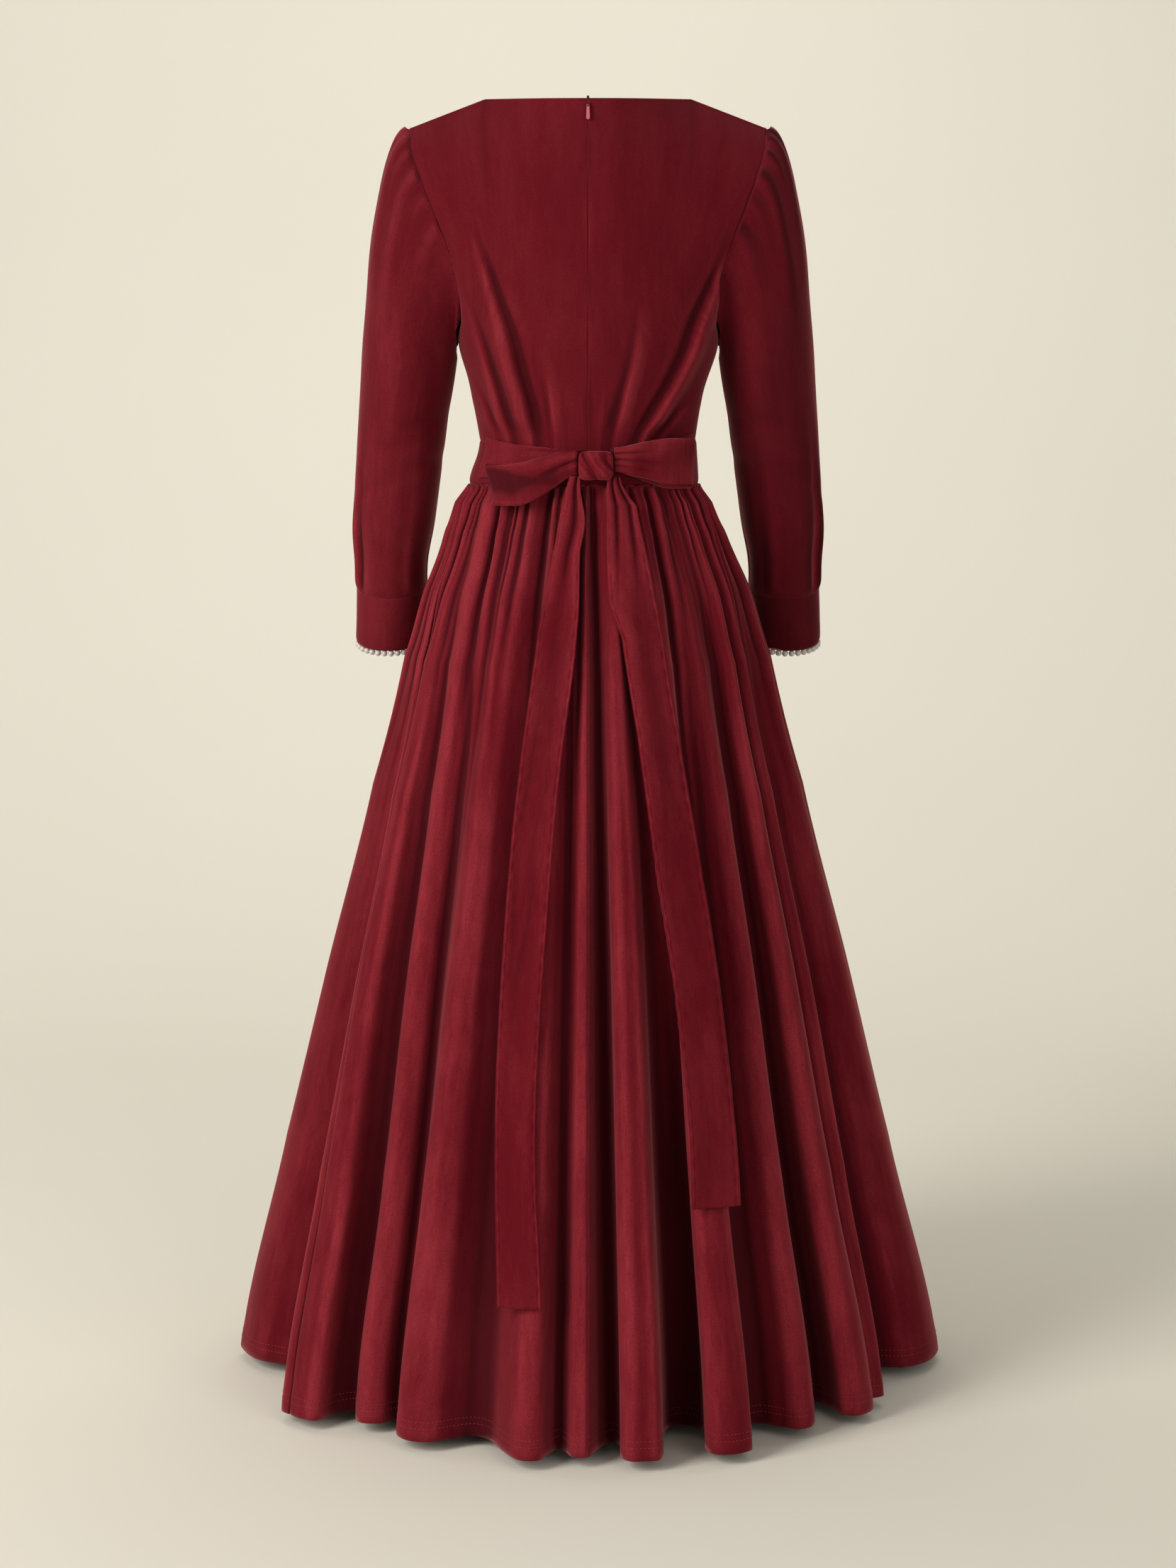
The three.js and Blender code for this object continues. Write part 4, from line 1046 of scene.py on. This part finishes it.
# Knot: the sash wraps once round the crossing and is drawn tight, so its face has slanting folds
KNOT_CENTRE = Vector((8, -102.2, -373))
KNOT_SIZE = Vector((18.5, 9, 16))
KNOT_FOLD = 5
knot_bm = bmesh.new()
knot_bm.loops.layers.uv.new("cloth")
bmesh.ops.create_uvsphere(knot_bm, u_segments=96, v_segments=64, radius=1, calc_uvs=True)
sheet = knot_bm.loops.layers.uv.active
painted_light_and_shade = knot_bm.verts.layers.float.new("painted_light_and_shade")
for face in knot_bm.faces:
    for corner in face.loops:
        corner[sheet].uv = (corner.vert.co.x * 0.03, corner.vert.co.z * 0.03)
for vert in knot_bm.verts:
    way = vert.co.normalized()
    boxy = (abs(way.x) ** 4 + abs(way.y) ** 4 + abs(way.z) ** 4) ** (-1 / 4)
    bend = way.x + 0.16 * math.sin(way.z * 2.4 + 0.5) + 0.22 * way.z
    fold = abs(math.sin(bend * 3.1 + 0.9)) ** 0.6 - 0.6 + 0.14 * math.sin(bend * 15 + way.z * 3)
    facing = max(0, -way.y) ** 0.7
    waisted = 1 - 0.07 * math.cos(way.x * 2.2) * abs(way.z) + 0.05 * fold
    size = Vector((KNOT_SIZE.x, KNOT_SIZE.y, KNOT_SIZE.z * waisted)) * boxy * 0.97
    spot = KNOT_CENTRE + Vector((way.x * size.x, way.y * size.y, way.z * size.z))
    spot.y -= KNOT_FOLD * fold * facing
    # Painted highlight on the tops of the knot's folds and painted shade in their valleys
    vert[painted_light_and_shade] = max(0, min(1, 0.56 + 0.42 * fold))
    vert.co = spot * MM
knot = add_piece("velvet_bow_knot", knot_bm, sash_velvet)
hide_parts("bow_knot")
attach(knot, "dress")

# Tails: the ends of the sash, which hang on the tops of the skirt's folds and keep their hemmed edges
LEFT_TAIL = columns_of(
    ("z", "left", "right"),
    [
        (-384, -19, -8), (-396, -23, -8), (-430, -30, -3), (-461, -36, -8), (-540, -51, -11),
        (-690, -71, -29), (-800, -82, -39), (-950, -91, -49), (-1057, -93, -52), (-1197, -90, -46),
    ],
)
RIGHT_TAIL = columns_of(
    ("z", "left", "right"),
    [
        (-385, 20, 33), (-396, 19, 37), (-414, 19, 50), (-508, 21, 69), (-546, 34, 77), (-644, 50, 93),
        (-790, 70, 117), (-890, 86, 133), (-1020, 100, 147), (-1107, 103, 153),
    ],
)
TAILS = [
    {"node": "bow_tail_left", "edges": LEFT_TAIL, "seed": 1.3, "folds": 1.2, "long": 0.82,
     "rests": "skirt_back_left"},
    {"node": "bow_tail_right", "edges": RIGHT_TAIL, "seed": 6.1, "folds": 2.3, "long": 0.73,
     "rests": "skirt_back_right"},
]


# The tails come out from under the knot over the waistband's foot, and are folded there
TAIL_OVER_BAND = {"rise": 9, "from": -394, "to": -412}
TAIL_FOLD = 4.2
TAIL_LONG_FOLD = 2.2
# Hem stitches of the tail pucker its edge by this half wave
PUCKER_PITCH = 3.1


def tail_crease(tail, u, v):
    wave = abs(math.sin(u * math.pi * tail["folds"] + 0.5 + v * 6)) ** 0.7
    return (1 - ease(0.02, 0.2, v)) * (wave - 0.5)


for tail in TAILS:

    def tail_place(u, v, tail=tail):
        edges = tail["edges"]
        top, foot = edges["z"][0], edges["z"][-1]
        z = lerp(top, foot, v)
        place = row_place(edges["z"], z)
        x = lerp(curve_at(edges["left"], place), curve_at(edges["right"], place), u)
        side, back, _ = skirt_row(min(z, SKIRT_TOP_Z))
        over_band = TAIL_OVER_BAND["rise"] * (1 - ease(TAIL_OVER_BAND["from"], TAIL_OVER_BAND["to"], z))
        off = WALL * 2 + LIE_GAP + 3.2 * ease(0, 0.1, v) + over_band
        folds = TAIL_FOLD * tail_crease(tail, u, v)
        fading = ease(0.05, 0.2, v) * (1 - ease(0.35, 0.9, v))
        long_fold = TAIL_LONG_FOLD * math.sin(u * math.pi * 1.6 + tail["seed"] + v * 3) * fading
        soft = drift(u * 1.6, v * 7, tail["seed"]) * 2.4 * ease(0.03, 0.2, v)
        from_edge = min(u, 1 - u) * SASH_WIDE
        pucker = 0.35 * math.sin(v * tail["long"] * 1000 / PUCKER_PITCH)
        pucker *= bell(from_edge - 3, 2.5)
        turned = 0.5 * bell(from_edge - 4, 1.0)
        edge_roll = 0.6 * bell(from_edge, 1.5) + turned + pucker
        out = off + max(-1.4, folds + long_fold + soft) - edge_roll
        return Vector((x, -(back + out) * math.sqrt(1 - (x / (side + out)) ** 2), z))

    # Painted light on the tail: lighter crease tops with darker crease valleys, and patches of painted
    # highlight near its top
    def tail_painted_light(u, v, tail=tail):
        patch = drift(u * 2.2, v * 9, tail["seed"] + 4)
        return 0.34 * tail_crease(tail, u, v) + (0.1 + 0.25 * patch) * (1 - ease(0.05, 0.3, v))

    piece = cut_cloth(
        "velvet_" + tail["node"], 48, 300, tail_place, (SASH_WIDE, tail["long"] * 1000), sash_velvet,
        thickness=1.5, painted_light=tail_painted_light,
    )
    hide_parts(tail["node"])
    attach(piece, "dress")
    cut = tail["long"] * 0.044

# Zip: its coil is hidden in the seam, so only the small painted slider, its stop and the pull tab show.
# The tape lies behind the seam down to the foot of the waistband.
WEAR_DETAIL = 3
WEAR_ROUGH = 0.55
zip_paint, _, shader, _ = mottled(
    "dark zip paint", 700, (0.035, 0.006, 0.008), (0.09, 0.018, 0.022), (0.34, 0.2), WEAR_DETAIL, WEAR_ROUGH
)
shader.inputs["Metallic"].default_value = 0.5
pull_paint, _, shader, _ = mottled(
    "pull tab enamel", 500, (0.42, 0.075, 0.095), (0.55, 0.16, 0.18), (0.2, 0.12), WEAR_DETAIL, WEAR_ROUGH
)
shader.inputs["Coat Weight"].default_value = 0.5
tape_cloth, tree, shader = start_material("zip tape cloth")
coords = add_node(tree, "ShaderNodeTexCoord", {}, {}, 3)
rib = add_node(tree, "ShaderNodeTexWave", {"bands_direction": "Z"}, {0: coords, 1: 600, 2: 0.4})
feed(
    tree,
    shader,
    Base_Color=mix_shades(tree, rib, (0.05, 0.005, 0.009, 1), (0.09, 0.009, 0.015, 1)),
    Roughness=0.8 + rib * 0.1,
)
coil_nylon = mottled("coil nylon", 900, (0.075, 0.008, 0.013), (0.13, 0.016, 0.024), (0.38, 0.2))[0]
# The coil: two rows of small nylon teeth on the inner face of the tape, closed down to the waist
TEETH = {"pitch": 1.6, "from": -12, "to": -386, "half": 1.5, "apart": 1.1, "inside": 3.5}
coil_bm = bmesh.new()
step = 0
z = TEETH["from"]
while z > TEETH["to"]:
    rest = curve_at(TORSO["back"], row_place(TORSO["z"], max(z, -359)))
    side = 1 if step % 2 else -1
    spot = Matrix.Translation(Vector((side * TEETH["apart"], TEETH["inside"] - rest, z)) * MM)
    size = Matrix.Diagonal((TEETH["half"], 0.7, 0.6, 1))
    bmesh.ops.create_uvsphere(coil_bm, u_segments=8, v_segments=6, radius=MM, matrix=spot @ size)
    z -= TEETH["pitch"] / 2
    step += 1
coil = add_piece("zip_coil", coil_bm, coil_nylon)
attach(coil, "dress")
for node_name, material in (
    ("zip_slider", zip_paint),
    ("zip_top_stop", zip_paint),
    ("zip_pull", pull_paint),
    ("zip_tape", tape_cloth),
):
    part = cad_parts[node_name]
    part.data.materials.clear()
    part.data.materials.append(material)

# Studio: a plain pale floor that bends up into a plain pale wall, with large soft lights. The main light
# comes from the left, so the folds are lit from their left sides.
FLOOR_Z = -1.352
FLOOR = {"from": -6, "to": 6.2, "wide": 16, "bend": 1.6, "wall": 4.2, "round": 2.2, "lift": 1.6}
WALL_STEEP = 1.9
floor_bm = bmesh.new()
bmesh.ops.create_grid(floor_bm, x_segments=4, y_segments=60, size=0.5)
for vert in floor_bm.verts:
    along = vert.co.y + 0.5
    way = lerp(FLOOR["from"], FLOOR["to"], along)
    bend = max(0, way - FLOOR["bend"])
    curve = (min(bend, FLOOR["round"]) / FLOOR["round"]) ** 2 * FLOOR["lift"]
    rise = curve + max(0, bend - FLOOR["round"]) * WALL_STEEP
    vert.co = Vector((vert.co.x * FLOOR["wide"], min(way, FLOOR["wall"]), FLOOR_Z + rise))
studio_paper = mottled("studio paper", 1.2, (0.74, 0.70, 0.60), (0.77, 0.73, 0.63), (0.9, 0.05))[0]
floor = add_piece("studio_floor", floor_bm, studio_paper)


def soft_light(name, place, aim, size, power, tint=(1, 1, 1)):
    data = bpy.data.lights.new(name, "AREA")
    data.shape = "RECTANGLE"
    data.size, data.size_y = size
    data.energy = power
    data.color = tint
    light = bpy.data.objects.new(name, data)
    light.location = place
    light.rotation_euler = (Vector(aim) - Vector(place)).to_track_quat("-Z", "Y").to_euler()
    scene.collection.objects.link(light)


soft_light("key", (-3.0, -2.5, 1.0), (0, 0, -0.7), (1.8, 2.8), 166, (1, 0.98, 0.95))
soft_light("fill", (2.2, -3.5, 0.3), (0, 0, -0.7), (2.4, 3.0), 40)
soft_light("wall", (0.0, 1.3, 2.6), (0, 3.4, 0.2), (4.0, 1.2), 62)
world = bpy.data.worlds.new("studio")
world.use_nodes = True
world.node_tree.nodes["Background"].inputs[0].default_value = (0.95, 0.93, 0.88, 1)
world.node_tree.nodes["Background"].inputs[1].default_value = 0.34
scene.world = world
scene.view_settings.view_transform = "Standard"
scene.view_settings.look = "None"
